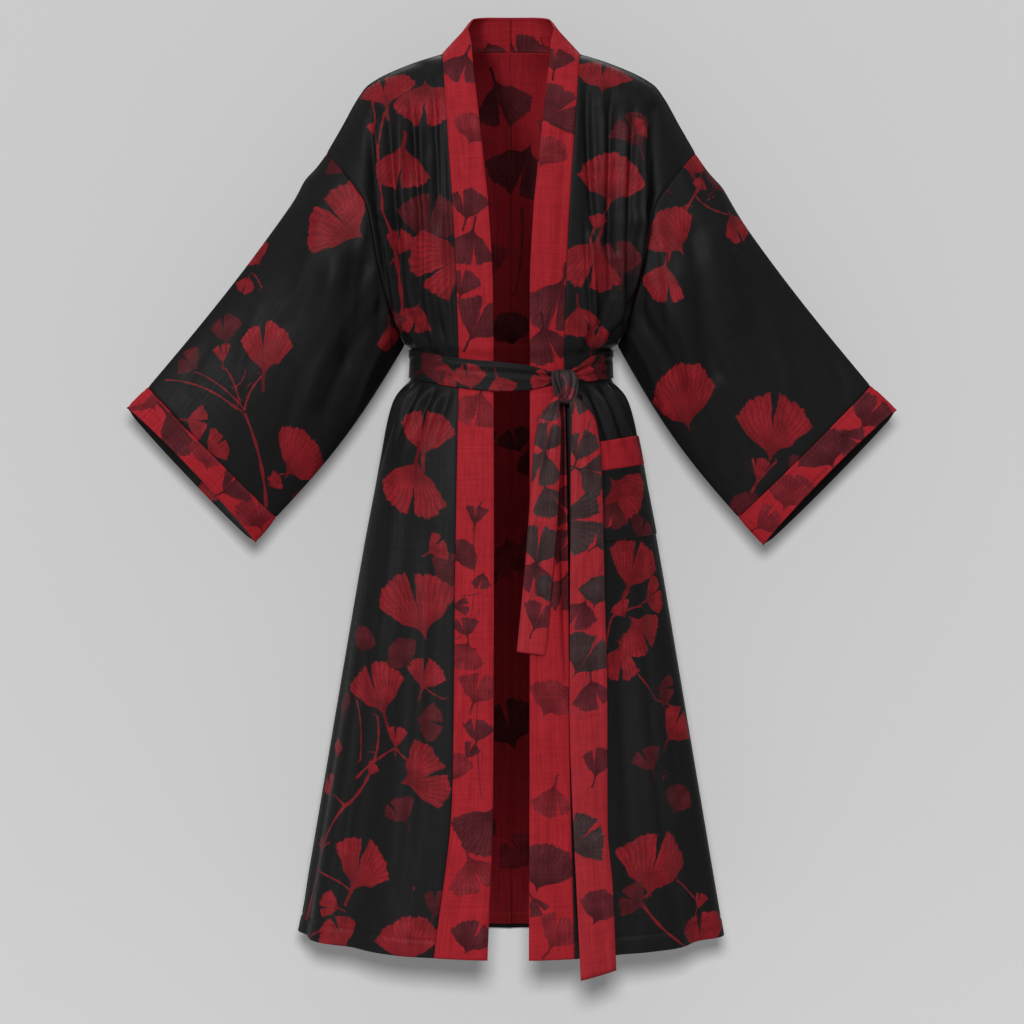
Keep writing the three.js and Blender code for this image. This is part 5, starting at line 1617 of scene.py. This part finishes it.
def wall_paint(name):
    """Matt grey with a faint glow for the camera in front, which keeps shadows soft, and clear
    from behind and for all other rays. Light from a near lamp falls off by the square of one
    plus the square of the slope, so the grey is paler by as much and the wall looks even."""
    material = bpy.data.materials.new(name)
    material.use_nodes = True
    material.node_tree.nodes.clear()
    _plug, add, calc, *_ = calculator(material.node_tree)
    place = add("SeparateXYZ", {0: add("TexCoord").outputs["Object"]})
    slope_x = calc("DIVIDE", place.outputs[0], WALL_Y - LAMP_Y)
    slope_z = calc("DIVIDE", calc("SUBTRACT", place.outputs[2], LAMP_Z), WALL_Y - LAMP_Y)
    square = calc("ADD", calc("MULTIPLY", slope_x, slope_x), calc("MULTIPLY", slope_z, slope_z))
    gain = calc("POWER", calc("ADD", 1.0, square), 2.0)
    grey = calc("MINIMUM", PALEST_GREY, calc("MULTIPLY", WALL_GREY, gain))
    matt = add("BsdfDiffuse", {"Color": grey})
    glow = add("Emission", {"Color": (1, 1, 1, 1), "Strength": WALL_GLOW})
    paint = add("AddShader", {0: matt.outputs[0], 1: glow.outputs[0]})
    shown = calc("MULTIPLY", add("LightPath").outputs["Is Camera Ray"],
                 calc("SUBTRACT", 1.0, add("NewGeometry").outputs["Backfacing"]))
    clear = add("BsdfTransparent").outputs[0]
    both = add("MixShader", {0: shown, 1: clear, 2: paint.outputs[0]})
    add("OutputMaterial", {"Surface": both.outputs[0]})
    return material


WALL_Y, FLOOR_Z, CEILING_Z, ROOM = 0.157, -1.48, 4.0, 6.0
WALL_GREY, PALEST_GREY, WALL_GLOW = 0.222, 0.4, 0.10
LAMP_Z, LAMP_Y = VIEW_Z * MM + 0.41, VIEW_Y * MM
CORNERS = ((-ROOM, 0), (ROOM, 0), (ROOM, 1), (-ROOM, 1))
FLOOR_PAINT = {"Base Color": (0.56, 0.56, 0.565, 1), "Roughness": 0.9}
wall = stage_plane("wall", [(x, WALL_Y, (FLOOR_Z, CEILING_Z)[end]) for x, end in CORNERS],
                   wall_paint("wall"))
stage_plane("floor", [(x, (-ROOM, ROOM)[end], FLOOR_Z) for x, end in CORNERS],
            new_material("floor", lambda tree: FLOOR_PAINT))


def link_to_wall(lamp, only_wall):
    """A lamp lights either the wall alone or all but the wall, so that the wall stays plain."""
    lit = bpy.data.collections.new(lamp.name + " receivers")
    lit.objects.link(wall)
    lit.collection_objects[0].light_linking.link_state = "INCLUDE" if only_wall else "EXCLUDE"
    lamp.light_linking.receiver_collection = lit


def sun(name, strength, spread, tilt, turn_round):
    """A far, even light. Its spread in degrees sets how soft the shadows are."""
    light = bpy.data.lights.new(name, "SUN")
    light.energy, light.angle = strength, math.radians(spread)
    link_to_wall(placed(name, light, turned=(tilt, 0, turn_round)), False)


def disc(name, power, size):
    """A round lamp right over the camera, so that the wall shows shadows below edges alone."""
    light = bpy.data.lights.new(name, "AREA")
    light.shape, light.size, light.energy = "DISK", size, power
    link_to_wall(placed(name, light, (VIEW_X * MM, LAMP_Y, LAMP_Z), (90, 0, 0)), True)


disc("wall light", 252, 0.5)
sun("front light", 2.05, 16, 66, -27)
sun("upper light", 1.0, 36, 40, 14)
sun("back light", 1.3, 40, 58, 180)
world = bpy.data.worlds.new("room")
world.use_nodes = True
world.node_tree.nodes["Background"].inputs["Color"].default_value = (1, 1, 1, 1)
world.node_tree.nodes["Background"].inputs["Strength"].default_value = 0.40
bpy.context.scene.world = world
bpy.context.scene.view_settings.view_transform = "Standard"

# %% [markdown]
#
# Every sheet says how large it was cut, how it is held and what it rests on. The model's box is
# written beside the CAD box, so that the two can be compared.

# %% Declare, measure and finish
for kind, node, piece, _cloth, _normal, held, rests_on in sewn:
    flat, area = PIECES[kind][-2:]
    going = [stitched[node]] if node in stitched else []
    if node == "belt":
        going.append(knot)
